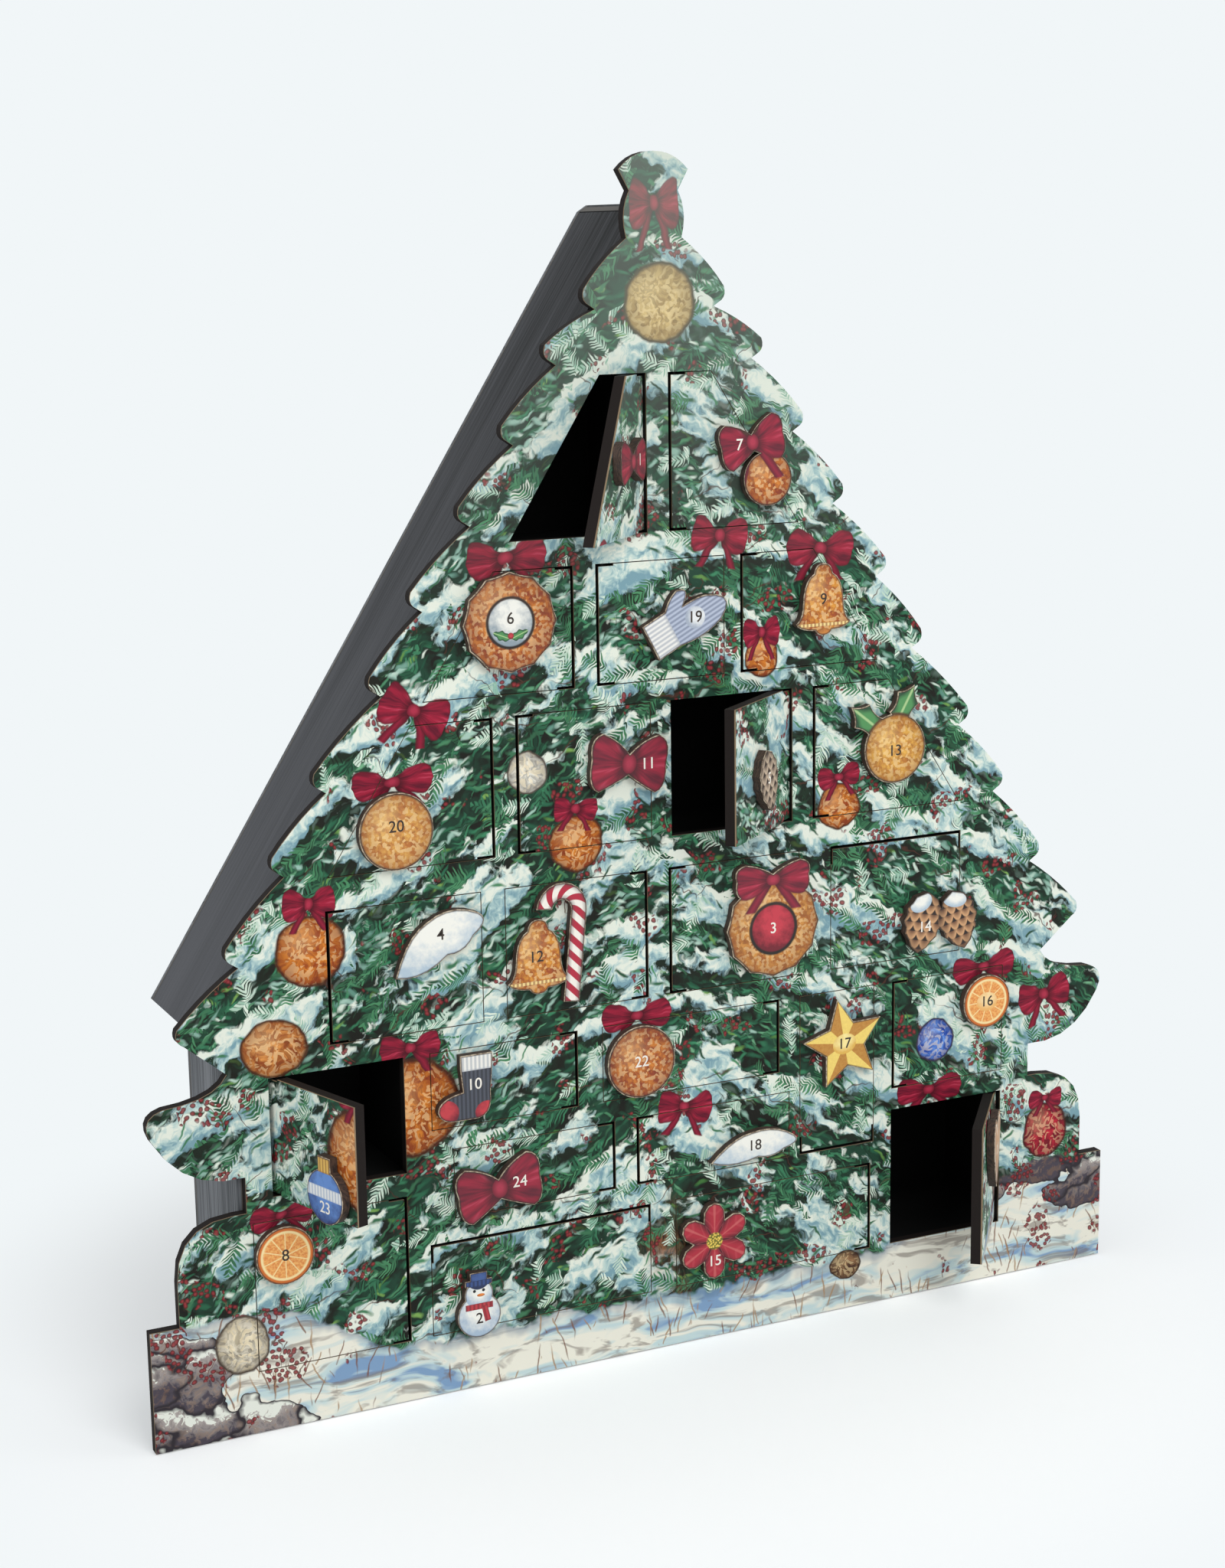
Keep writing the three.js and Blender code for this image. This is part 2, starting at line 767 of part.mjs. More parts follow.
function treeGeometry() {

	const depth = pinReach + pinClearance;
	const windows = doors.map( windowTool );
	const sockets = doors.flatMap( ( door ) => pivotRods( door, pinRadius + pinClearance, - 1, depth ) );
	return cut( board( treeOutline(), treeThickness, treeFrontY ), [ ...windows, ...sockets ] );

}

// The box

function boxBoard( points ) {

	return board( shapeOf( points ), boxDepth, treeBackY );

}

// The right roof board laps over the left one, so its square end shows at the peak
const ridge = [ - roofBreadth / 2, peakZ - roofBreadth / 2 / roofSlope ];
const ridgeTop = [
	ridge[ 0 ] + boxThickness * Math.cos( roofAngle ),
	ridge[ 1 ] + boxThickness * Math.sin( roofAngle ),
];

function rightRoof() {

	return boxBoard( [ ridge, [ eaveHalf - roofBreadth, eaveZ ], [ eaveHalf, eaveZ ], ridgeTop ] );

}

function leftRoof() {

	const lap = roofBreadth + roofGap / 2;
	return boxBoard( [
		[ - eaveHalf, eaveZ ], [ roofBreadth - eaveHalf, eaveZ ],
		[ - roofGap / 2, peakZ - lap / roofSlope ],
		[ - ( roofBreadth + roofGap ) / 2, peakZ - ( roofBreadth + roofGap ) / 2 / roofSlope ],
	] );

}

function eave( side ) {

	const top = eaveZ + boxThickness;
	const inner = ( z ) => side * ( roofX( z ) - roofBreadth - roofGap );
	const root = side * ( sideHalf - boxThickness );
	const points = [ [ root, eaveZ ], [ inner( eaveZ ), eaveZ ], [ inner( top ), top ], [ root, top ] ];
	return boxBoard( side > 0 ? points : points.reverse() );

}

function side( direction ) {

	const xs = [ direction * sideHalf, direction * ( sideHalf - boxThickness ) ].sort( ( a, b ) => a - b );
	return block( [ xs[ 0 ], treeBackY, 0 ], [ xs[ 1 ], backFrontY, eaveZ ] );

}

function bottom() {

	const half = sideHalf - boxThickness;
	return block( [ - half, treeBackY, 0 ], [ half, backFrontY, boxThickness ] );

}

function back() {

	const outline = shapeOf( [
		[ - sideHalf, 0 ], [ sideHalf, 0 ], [ sideHalf, eaveZ ], [ eaveHalf, eaveZ ],
		ridgeTop, ridge, [ - eaveHalf, eaveZ ], [ - sideHalf, eaveZ ],
	] );
	return board( outline, backThickness, backFrontY );

}

// Dividers: shelves in the webs between the rows, and partitions in the webs between the doors

function door( number ) {

	return doors.find( ( one ) => one.number === number );

}

function shelfZ( below, above ) {

	return ( below.top + above.bottom ) / 2;

}

function partitionX( leftDoors, rightDoors ) {

	const right = Math.max( ...leftDoors.map( ( n ) => door( n ).right ) );
	const left = Math.min( ...rightDoors.map( ( n ) => door( n ).left ) );
	return ( right + left ) / 2;

}

function shelf( x0, x1, z ) {

	const half = dividerThickness / 2;
	return block( [ x0, treeBackY, z - half ], [ x1, backFrontY, z + half ] );

}

function partition( x, z0, z1 ) {

	const half = dividerThickness / 2;
	return block( [ x - half, treeBackY, z0 ], [ x + half, backFrontY, z1 ] );

}

const highShelf = shelfZ( high, crown );
const upperShelf = shelfZ( upper, high );
const middleShelf = shelfZ( middle, upper );
const lowerShelf = shelfZ( lower, middle );

function roofShelf( z ) {

	const half = roofX( z + dividerThickness / 2 ) - roofBreadth - roofGap;
	return shelf( - half, half, z );

}

function upperDivider() {

	const top = crown.top + crownWeb;
	return join( [
		roofShelf( middleShelf ), roofShelf( upperShelf ), roofShelf( highShelf ),
		partition( partitionX( [ 11 ], [ 5 ] ), middleShelf, upperShelf ),
		partition( partitionX( [ 20 ], [ 11 ] ), middleShelf, upperShelf ),
		partition( partitionX( [ 5 ], [ 13 ] ), middleShelf, upperShelf ),
		partition( partitionX( [ 6 ], [ 19 ] ), upperShelf, highShelf ),
		partition( partitionX( [ 19 ], [ 9 ] ), upperShelf, highShelf ),
		partition( partitionX( [ 1 ], [ 7 ] ), highShelf, top ),
	] );

}

function middleDivider() {

	const half = sideHalf - boxThickness;
	const top = middleShelf - dividerThickness / 2;
	return join( [
		shelf( - half, half, lowerShelf ),
		partition( partitionX( [ 4 ], [ 12 ] ), lowerShelf, top ),
		partition( partitionX( [ 12 ], [ 3 ] ), lowerShelf, top ),
		partition( partitionX( [ 3 ], [ 14 ] ), lowerShelf, top ),
	] );

}

// The lowest four storeys: two outer columns, two rows between them, and one tall cell
function lowerDivider() {

	const half = sideHalf - boxThickness;
	const top = lowerShelf - dividerThickness / 2;
	const floorZ = foot.bottom - dividerThickness;
	const leftColumn = partitionX( [ 23, 8 ], [ 10, 2 ] );
	const rightColumn = partitionX( [ 17, 15 ], [ 16, 21 ] );
	const tallCell = partitionX( [ 22, 18 ], [ 17 ] );
	const underShelf = shelfZ( under, lower );
	const footShelf = shelfZ( foot, under );
	const outerShelf = shelfZ( cellar, wing );
	return join( [
		shelf( - half, half, floorZ ),
		partition( leftColumn, boxThickness, top ),
		partition( rightColumn, boxThickness, top ),
		shelf( - half, leftColumn, outerShelf ),
		shelf( rightColumn, half, outerShelf ),
		shelf( leftColumn, rightColumn, footShelf ),
		shelf( leftColumn, tallCell, underShelf ),
		partition( tallCell, footShelf, top ),
		partition( partitionX( [ 10 ], [ 22 ] ), underShelf, top ),
		partition( partitionX( [ 24 ], [ 18 ] ), footShelf, underShelf ),
		partition( partitionX( [ 2 ], [ 15 ] ), boxThickness, footShelf ),
	] );

}

// Assembly

const paint = {
	tree: { color: 0x3f6f57, roughness: 0.55 },
	door: { color: 0x4d7f66, roughness: 0.55 },
	ornament: { color: 0xc06a35, roughness: 0.45 },
	box: { color: 0x55545b, roughness: 0.7 },
	divider: { color: 0x151515, roughness: 0.9 },
};

function piece( name, geometry, finish ) {

	const material = new THREE.MeshStandardMaterial( { ...finish, metalness: 0 } );
	const mesh = new THREE.Mesh( geometry, material );
	mesh.name = name;
	return mesh;

}

// A door and its ornament turn together about the pivot
function hungDoor( one ) {

	const label = String( one.number ).padStart( 2, '0' );
	const { at } = pivot( one );
	const hung = new THREE.Group();
	hung.position.set( ...at );
	const axis = new THREE.Vector3( ...turnAxis[ one.hinge ] );
	hung.quaternion.setFromAxisAngle( axis, THREE.MathUtils.degToRad( one.open ?? 0 ) );
	const home = at.map( ( value ) => - value );
	const leaf = doorGeometry( one ).translate( ...home );
	const knob = ornamentGeometry( one ).translate( ...home );
	hung.add( piece( `door_${ label }`, leaf, paint.door ) );
	hung.add( piece( `ornament_${ label }`, knob, paint.ornament ) );
	return hung;

}

const calendar = new THREE.Group();
calendar.add(
	piece( 'front_board', treeGeometry(), paint.tree ),
	piece( 'back_board', back(), paint.box ),
	piece( 'left_roof_board', leftRoof(), paint.box ),
	piece( 'right_roof_board', rightRoof(), paint.box ),
	piece( 'left_eave_board', eave( - 1 ), paint.box ),
	piece( 'right_eave_board', eave( 1 ), paint.box ),
	piece( 'left_side_board', side( - 1 ), paint.box ),
	piece( 'right_side_board', side( 1 ), paint.box ),
	piece( 'bottom_board', bottom(), paint.box ),
	piece( 'upper_divider', upperDivider(), paint.divider ),
	piece( 'middle_divider', middleDivider(), paint.divider ),
	piece( 'lower_divider', lowerDivider(), paint.divider ),
	...doors.map( hungDoor ),
);

export default calendar;
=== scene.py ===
# %% [markdown]
# # A wooden advent calendar, shaped as a fir tree
# The real calendar is a thin board cut to the outline of a snowy fir, with a picture printed all over it.
# It stands on the front of a deep peaked box of small cells. Twenty-four doors are cut out of the board,
# and each has a cut-out wooden ornament with its number, which is the knob that it is pulled by.
# The boards and the doors come ready made as the frame. This notebook gives them their finish, and makes
# the ornaments, the painted decorations and the numbers.

# %% Load the frame
import bmesh
import bpy
import json
import math
from mathutils import Matrix, Vector


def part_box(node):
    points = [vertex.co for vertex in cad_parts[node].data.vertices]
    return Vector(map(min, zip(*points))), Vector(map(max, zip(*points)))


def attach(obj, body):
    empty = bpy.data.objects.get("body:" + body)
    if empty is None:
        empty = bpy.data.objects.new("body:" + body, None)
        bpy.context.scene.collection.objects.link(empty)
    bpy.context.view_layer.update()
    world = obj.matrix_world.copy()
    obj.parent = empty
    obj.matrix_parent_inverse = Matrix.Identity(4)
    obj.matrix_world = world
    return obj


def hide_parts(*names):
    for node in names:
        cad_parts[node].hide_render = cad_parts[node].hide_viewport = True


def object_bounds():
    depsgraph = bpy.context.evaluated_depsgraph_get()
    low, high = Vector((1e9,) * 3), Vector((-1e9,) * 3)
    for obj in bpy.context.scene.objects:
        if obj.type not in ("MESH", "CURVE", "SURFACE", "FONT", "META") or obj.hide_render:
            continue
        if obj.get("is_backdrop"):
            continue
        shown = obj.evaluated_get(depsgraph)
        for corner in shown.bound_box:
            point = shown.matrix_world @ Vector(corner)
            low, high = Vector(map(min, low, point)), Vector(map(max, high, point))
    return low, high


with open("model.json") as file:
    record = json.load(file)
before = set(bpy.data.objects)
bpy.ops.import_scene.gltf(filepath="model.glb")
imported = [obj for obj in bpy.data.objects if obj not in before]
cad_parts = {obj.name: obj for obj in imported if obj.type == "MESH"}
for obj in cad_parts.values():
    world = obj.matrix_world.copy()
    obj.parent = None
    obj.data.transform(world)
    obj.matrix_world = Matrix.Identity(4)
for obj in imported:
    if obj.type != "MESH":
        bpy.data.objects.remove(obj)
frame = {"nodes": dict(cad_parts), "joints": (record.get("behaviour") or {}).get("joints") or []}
frame_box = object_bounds()
nodes = frame["nodes"]

# %% [markdown]
# ## Camera
# The calendar is seen from the left and from above, so its left roof board shows beside the tree. A lens of
# about 60 mm on a 36 mm sensor gives the mild perspective of a product photograph. The camera could be aimed
# by a constraint, but its own axes say in three lines how it is held.

# %% The camera
camera_place = Vector((-0.4689, -0.9711, 0.4638))
look = Vector((0.42116, 0.88362, -0.20454)).normalized()
right = Vector((0.90129, -0.43297, -0.01467))
right = (right - look * right.dot(look)).normalized()
up = right.cross(look)
lens_data = bpy.data.cameras.new("camera")
lens_data.lens = 60.48
lens_data.sensor_width = 36
camera = bpy.data.objects.new("camera", lens_data)
bpy.context.collection.objects.link(camera)
camera.matrix_world = Matrix.Translation(camera_place) @ Matrix((right, up, -look)).transposed().to_4x4()
bpy.context.scene.camera = camera
bpy.context.scene.view_settings.view_transform = "Standard"
print("camera", round(camera_place.length, 3), "m from the origin")

# %% [markdown]
# ## Nodes and colours
# Every finish below is a tree of nodes. One helper starts an empty material, one adds a node with its
# settings and links, and one turns a hex colour, as a paint chart gives it, to the linear light that the
# renderer works in.


# %% Three helpers, for colours, nodes and materials
def ink(code):
    """Linear red, green, blue and 1 for a colour in hex."""
    parts = [int(code[i:i + 2], 16) / 255 for i in (1, 3, 5)]
    linear = [c / 12.92 if c <= 0.04045 else ((c + 0.055) / 1.055) ** 2.4 for c in parts]
    return (*linear, 1)


at_first = {"Mix": {"data_type": "RGBA"}}  # a Mix node mixes colours, unless it is told otherwise


def add(tree, kind, *values, named=None, **settings):
    """Adds a node. The values go to its enabled inputs in order, or by name, as numbers or as links."""
    node = tree.nodes.new("ShaderNode" + kind)
    for key, value in {**at_first.get(kind, {}), **settings}.items():
        setattr(node, key, value)
    sockets = [socket for socket in node.inputs if socket.enabled]
    pairs = list(zip(sockets, values))
    pairs += [(next(s for s in sockets if s.name == name), value) for name, value in (named or {}).items()]
    for socket, value in pairs:
        if isinstance(value, bpy.types.Node):
            value = next(output for output in value.outputs if output.enabled)
        if isinstance(value, bpy.types.NodeSocket):
            tree.links.new(value, socket)
        elif value is not None:
            socket.default_value = value
    return node


def new_material(name):
    """An empty material, and the tree that its finish is made in."""
    material = bpy.data.materials.new(name)
    material.use_nodes = True
    material.node_tree.nodes.clear()
    return material, material.node_tree


print("white is", ink("#FFFFFF"))

# %% [markdown]
# ## Lamps, sky and floor
# The light is soft and even: one broad lamp in front, a weaker one on each side, and a sky. The sky is
# bright and pale where the camera sees it, and dimmer as a light, so that shadows keep their depth.
# The calendar stands on white studio paper. A sheet that curves up behind it would do, but a round floor
# that fades into the pale sky before its edge shows is simpler, and it keeps the soft shadow.

# %% Lamps
pale = ink("#F1F6F8")
aim = Vector((0, 0, 0.24))


def lamp(name, place, size, power):
    """A round lamp of a size in metres and a power in watts, turned to the middle of the calendar."""
    data = bpy.data.lights.new(name, "AREA")
    data.shape = "DISK"
    data.size = size
    data.energy = power
    light = bpy.data.objects.new(name, data)
    bpy.context.collection.objects.link(light)
    light.location = place
    light.rotation_euler = (aim - light.location).to_track_quat("-Z", "Y").to_euler()


lamp("front_lamp", (0.1, -1.6, 1.5), 1.2, 17.5)
lamp("left_lamp", (-1.7, -0.5, 0.9), 0.9, 6.5)
lamp("right_lamp", (1.6, -0.9, 0.8), 0.9, 4.5)
print("lamps:", len(bpy.data.lights))

# %% Sky
world = bpy.data.worlds.new("studio")
world.use_nodes = True
sky = world.node_tree
sky.nodes.clear()
path = add(sky, "LightPath")
seen = add(sky, "Math", path.outputs["Is Camera Ray"], path.outputs["Is Glossy Ray"], operation="MAXIMUM")
fill = add(sky, "Background", (1, 1, 1, 1), 0.44)
backdrop = add(sky, "Background", pale, 1)
blend_sky = add(sky, "MixShader", seen, fill, backdrop)
add(sky, "OutputWorld", blend_sky)
bpy.context.scene.world = world
print("sky:", len(sky.nodes), "nodes")

# %% The floor, half a millimetre under the calendar, so that the two don't flicker through each other
floor_radius, floor_drop = 6, 0.0005
bm = bmesh.new()
bmesh.ops.create_circle(bm, cap_ends=True, segments=64, radius=floor_radius)
bmesh.ops.translate(bm, verts=bm.verts, vec=(0, 0, -floor_drop))
floor_mesh = bpy.data.meshes.new("floor")
bm.to_mesh(floor_mesh)
bm.free()
floor = bpy.data.objects.new("floor", floor_mesh)
bpy.context.collection.objects.link(floor)
floor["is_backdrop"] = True
print("floor:", floor_radius, "m in radius")

# %% Studio paper: matt white, lit near the calendar and glowing like the sky further out
shadow_radius, faded_radius = 0.16, 0.36
paper, tree = new_material("studio_paper")
spot = add(tree, "TexCoord").outputs["Object"]
distance = add(tree, "VectorMath", spot, operation="LENGTH").outputs["Value"]
fade = add(tree, "MapRange", distance, shadow_radius, faded_radius, 0, 1, interpolation_type="SMOOTHSTEP")
path = add(tree, "LightPath")
faded = add(tree, "Math", fade, path.outputs["Is Camera Ray"], operation="MULTIPLY")
lit = add(tree, "BsdfDiffuse", ink("#FBFDFE"))
glow = add(tree, "Math", path.outputs["Is Camera Ray"], 0.2, operation="MULTIPLY")
near = add(tree, "AddShader", lit, add(tree, "Emission", pale, glow))
far = add(tree, "Emission", pale, 1)
both = add(tree, "MixShader", faded, near, far)
add(tree, "OutputMaterial", both)
floor.data.materials.append(paper)
print("paper:", len(tree.nodes), "nodes")

# %% [markdown]
# ## Brushes
# The same few motifs come back all over the calendar: bows, speckled balls, snow, knitted wool, cones. Each
# is painted once, as a node group that works in the motif's own square, from -1 to 1 both ways, and that
# gives its colour and its outline. On an ornament a Mapping node puts that square anywhere, at any size and
# turn. On the board, where many motifs share one brush, two dot products do the same. Drawing the motifs as
# thin meshes would work too, but paint has no thickness and runs on over a seam, as a print does.


# %% A brush starts from its own square, and from millimetres for what must not grow with it
def start_brush(name, colours=False):
    """A new node group, the sockets that come into it, and the two that its colour and outline go to."""
    group = bpy.data.node_groups.new(name, "ShaderNodeTree")
    group.interface.new_socket("Local", in_out="INPUT", socket_type="NodeSocketVector")
    group.interface.new_socket("Grain", in_out="INPUT", socket_type="NodeSocketVector")
    if colours:
        group.interface.new_socket("Light", in_out="INPUT", socket_type="NodeSocketColor")
        group.interface.new_socket("Dark", in_out="INPUT", socket_type="NodeSocketColor")
    group.interface.new_socket("Color", in_out="OUTPUT", socket_type="NodeSocketColor")
    group.interface.new_socket("Mask", in_out="OUTPUT", socket_type="NodeSocketFloat")
    inputs = group.nodes.new("NodeGroupInput").outputs
    return group, inputs, group.nodes.new("NodeGroupOutput").inputs


def end_brush(group, ends, colour, mask):
    """Links a colour and an outline to a brush's ends."""
    for end, value in zip(ends, (colour, mask)):
        if isinstance(value, bpy.types.Node):
            value = next(output for output in value.outputs if output.enabled)
        group.links.new(value, end)


print("a brush gives Color and Mask")

# %% [markdown]
# ## Ribbon
# The bows are of wine-red satin ribbon: two loops with folds that fan out from the knot, and two short tails.
# The outline of a loop is drawn as a curve over the distance from the knot, because a curve node takes a
# drawn shape as it is. The folds are a noise that is stretched along the loop. Satin shines in narrow lines
# and goes nearly black in its folds, so three reds and a pink are laid over each other.

# %% Ribbon bow: outline
bow_brush, ins, ends = start_brush("bow_brush")
tree = bow_brush
axes = add(tree, "SeparateXYZ", ins["Local"])
aside = add(tree, "Math", axes.outputs[0], operation="ABSOLUTE")
rise = axes.outputs[1]
tall = add(tree, "Math", rise, operation="ABSOLUTE")
loop_height = add(tree, "FloatCurve", 1.0, aside)
curve = loop_height.mapping.curves[0]
curve.points[0].location = (0, 0.34)
curve.points[1].location = (1, 0.04)
for x, y in ((0.12, 0.36), (0.35, 0.74), (0.6, 0.97), (0.78, 0.99), (0.92, 0.72), (0.97, 0.3)):
    curve.points.new(x, y)
loop_height.mapping.update()
margin = add(tree, "Math", loop_height, tall, operation="SUBTRACT")
in_loop = add(tree, "MapRange", margin, -0.03, 0.05, 0, 1)
drop = add(tree, "Math", -1.0, rise, operation="MULTIPLY")
tail_line = add(tree, "Math", drop, 0.3, 0.08, operation="MULTIPLY_ADD")
off_tail = add(tree, "Math", aside, tail_line, operation="SUBTRACT")
off_tail = add(tree, "Math", off_tail, operation="ABSOLUTE")
tail_side = add(tree, "MapRange", off_tail, 0.12, 0.16, 1, 0)
tail_end = add(tree, "MapRange", drop, 1.75, 1.85, 1, 0)
tail_start = add(tree, "MapRange", drop, 0.0, 0.1, 0, 1)
in_tail = add(tree, "Math", tail_side, tail_end, operation="MULTIPLY")
in_tail = add(tree, "Math", in_tail, tail_start, operation="MULTIPLY")
shape = add(tree, "Math", in_loop, in_tail, operation="MAXIMUM")
print("bow outline:", len(curve.points), "points on its curve")

# %% Ribbon bow: folds
angle = add(tree, "Math", rise, aside, operation="ARCTAN2")
away = add(tree, "VectorMath", ins["Local"], operation="LENGTH").outputs["Value"]
side = add(tree, "Math", axes.outputs[0], operation="SIGN")
fan = add(tree, "CombineXYZ", angle, add(tree, "Math", away, 0.22, operation="MULTIPLY"), side)
fold = add(tree, "TexNoise", fan, 3.4, 2.0, 0.55).outputs["Fac"]
satin = add(tree, "Mix", add(tree, "MapRange", fold, 0.36, 0.62, 0, 1), ink("#5E0F26"), ink("#A51E3A"))
shine = add(tree, "MapRange", fold, 0.6, 0.72, 0, 0.75)
satin = add(tree, "Mix", shine, satin, ink("#C4506A"))
dim = add(tree, "MapRange", margin, 0.0, 0.3, 0.8, 0)
satin = add(tree, "Mix", dim, satin, ink("#400918"))
tail_tone = add(tree, "MapRange", off_tail, 0.0, 0.16, 0, 1)
tail = add(tree, "Mix", tail_tone, ink("#8F1B35"), ink("#460B1C"))
satin = add(tree, "Mix", in_loop, tail, satin)
print("bow with its folds:", len(tree.nodes), "nodes")

# %% Ribbon bow: knot
knot_place = add(tree, "VectorMath", ins["Local"], (5.5, 2.9, 0), operation="MULTIPLY")
knot = add(tree, "VectorMath", knot_place, operation="LENGTH").outputs["Value"]
tuck = add(tree, "MapRange", knot, 1.0, 2.4, 0.85, 0)
satin = add(tree, "Mix", tuck, satin, ink("#430A19"))
knot_tone = add(tree, "MapRange", knot, 0.3, 1.0, 0, 1)
knot_colour = add(tree, "Mix", knot_tone, ink("#AC2F48"), ink("#701228"))
on_knot = add(tree, "MapRange", knot, 0.95, 1.05, 1, 0)
satin = add(tree, "Mix", on_knot, satin, knot_colour)
end_brush(tree, ends, satin, shape)
print("bow brush:", len(tree.nodes), "nodes")

# %% [markdown]
# ## Balls, snow, wool and cones
# These come in many colours, so their brushes take two: one for the light side and one for the dark. A form
# looks round when it is bright at the upper left and dark at its rim. What lies on it is measured in real
# millimetres, so that a large ball has more crumbs and not larger ones. Each brush is a few functions of the
# distance from the middle, and a noise or a Voronoi pattern for the surface.

# %% Speckled ball in two given colours: crumbs about 1 mm wide, dark at the rim
ball_brush, ins, ends = start_brush("ball_brush", colours=True)
tree = ball_brush
away = add(tree, "VectorMath", ins["Local"], operation="LENGTH").outputs["Value"]
crumb = add(tree, "TexVoronoi", ins["Grain"], 0.85, voronoi_dimensions="2D")
chance = add(tree, "SeparateColor", crumb.outputs["Color"]).outputs[0]
crust = add(tree, "TexNoise", ins["Grain"], 0.25, 3.0, 0.7, noise_dimensions="2D").outputs["Fac"]
crust = add(tree, "MapRange", crust, 0.35, 0.65, 0, 1)
gold = add(tree, "Mix", crust, ins["Dark"], ins["Light"])
pale_crumb = add(tree, "Mix", 0.6, ins["Light"], ink("#FFE9B4"))
deep = add(tree, "Mix", 0.4, ins["Dark"], ink("#2D1710"))
bright = add(tree, "MapRange", chance, 0.62, 0.63, 0, 0.55)
gold = add(tree, "Mix", bright, gold, pale_crumb)
burnt = add(tree, "MapRange", chance, 0.15, 0.14, 0, 0.5)
gold = add(tree, "Mix", burnt, gold, deep)
shade = add(tree, "MapRange", away, 0.5, 1.05, 0, 0.72)
gold = add(tree, "Mix", shade, gold, deep)
lit_place = add(tree, "VectorMath", ins["Local"], (0.3, -0.34, 0), operation="ADD")
lit = add(tree, "VectorMath", lit_place, operation="LENGTH").outputs["Value"]
gold = add(tree, "Mix", add(tree, "MapRange", lit, 0.0, 0.6, 0.35, 0), gold, pale_crumb)
line = add(tree, "MapRange", away, 0.9, 0.98, 0, 0.85)
gold = add(tree, "Mix", line, gold, ink("#2D1710"))
end_brush(tree, ends, gold, add(tree, "MapRange", away, 1.0, 1.06, 1, 0))
print("ball brush:", len(tree.nodes), "nodes")

# %% Soft round form in two given colours, for snow, hearts and heads
round_brush, ins, ends = start_brush("round_brush", colours=True)
tree = round_brush
away = add(tree, "VectorMath", ins["Local"], operation="LENGTH").outputs["Value"]
cloud = add(tree, "TexNoise", ins["Grain"], 0.22, 3.0, 0.6, noise_dimensions="2D").outputs["Fac"]
high = add(tree, "SeparateXYZ", ins["Local"]).outputs[1]
lift = add(tree, "Math", high, -0.45, away, operation="MULTIPLY_ADD")
lift = add(tree, "Math", cloud, 1.3, lift, operation="MULTIPLY_ADD")
tone = add(tree, "MapRange", lift, 0.95, 1.85, 0, 1)
colour = add(tree, "Mix", tone, ins["Light"], ins["Dark"])
end_brush(tree, ends, colour, add(tree, "MapRange", away, 0.97, 1.03, 1, 0))
print("round brush:", len(tree.nodes), "nodes")

# %% Knitted band in two given colours: ribs 1.8 mm apart
band_brush, ins, ends = start_brush("band_brush", colours=True)
tree = band_brush
axes = add(tree, "SeparateXYZ", ins["Local"])
wide = add(tree, "Math", axes.outputs[0], operation="ABSOLUTE")
tall = add(tree, "Math", axes.outputs[1], operation="ABSOLUTE")
edge = add(tree, "Math", wide, tall, operation="MAXIMUM")
rib_place = add(tree, "SeparateXYZ", ins["Grain"]).outputs[0]
rib = add(tree, "Math", rib_place, 3.5, operation="MULTIPLY")
rib = add(tree, "Math", rib, operation="SINE")
tone = add(tree, "MapRange", rib, -1, 1, 0.75, 0)
colour = add(tree, "Mix", tone, ins["Light"], ins["Dark"])
dim = add(tree, "MapRange", edge, 0.75, 1.0, 0, 0.7)
colour = add(tree, "Mix", dim, colour, ins["Dark"])
end_brush(tree, ends, colour, add(tree, "MapRange", edge, 0.98, 1.03, 1, 0))
print("band brush:", len(tree.nodes), "nodes")

# %% Fir cone: rows of overlapping scales, each dark where the next one covers it
cone_brush, ins, ends = start_brush("cone_brush", colours=True)
tree = cone_brush
axes = add(tree, "SeparateXYZ", ins["Local"])
row_place = add(tree, "Math", axes.outputs[1], 3.6, 40.0, operation="MULTIPLY_ADD")
row = add(tree, "Math", row_place, operation="FLOOR")
odd = add(tree, "Math", row, 2.0, operation="MODULO")
column = add(tree, "Math", axes.outputs[0], 2.3, 40.5, operation="MULTIPLY_ADD")
column = add(tree, "Math", odd, 0.5, column, operation="MULTIPLY_ADD")
across_scale = add(tree, "Math", column, operation="FRACT")
across_scale = add(tree, "Math", across_scale, 0.5, operation="SUBTRACT")
bulge = add(tree, "Math", across_scale, across_scale, operation="MULTIPLY")
up_scale = add(tree, "Math", row_place, operation="FRACT")
tip = add(tree, "Math", bulge, -2.6, up_scale, operation="MULTIPLY_ADD")
lip = add(tree, "MapRange", tip, -0.12, 0.08, 1, 0)
under = add(tree, "MapRange", tip, 0.15, 1.0, 0, 1)
colour = add(tree, "Mix", under, ins["Light"], ins["Dark"])
colour = add(tree, "Mix", lip, colour, ink("#24140D"))
away = add(tree, "VectorMath", ins["Local"], operation="LENGTH").outputs["Value"]
colour = add(tree, "Mix", add(tree, "MapRange", away, 0.55, 1.05, 0, 0.7), colour, ink("#2B1A12"))
end_brush(tree, ends, colour, add(tree, "MapRange", away, 0.98, 1.04, 1, 0))
print("cone brush:", len(tree.nodes), "nodes")

# %% [markdown]
# ## Leaves, slices, petals and stars
# A leaf is measured along and across its midrib. An orange slice, a poinsettia and a star are measured by
# the angle around their middle: a sine of it gives the segments, the petals or the points. One brush for all
# three would need a switch for every part, so each has its own short one.

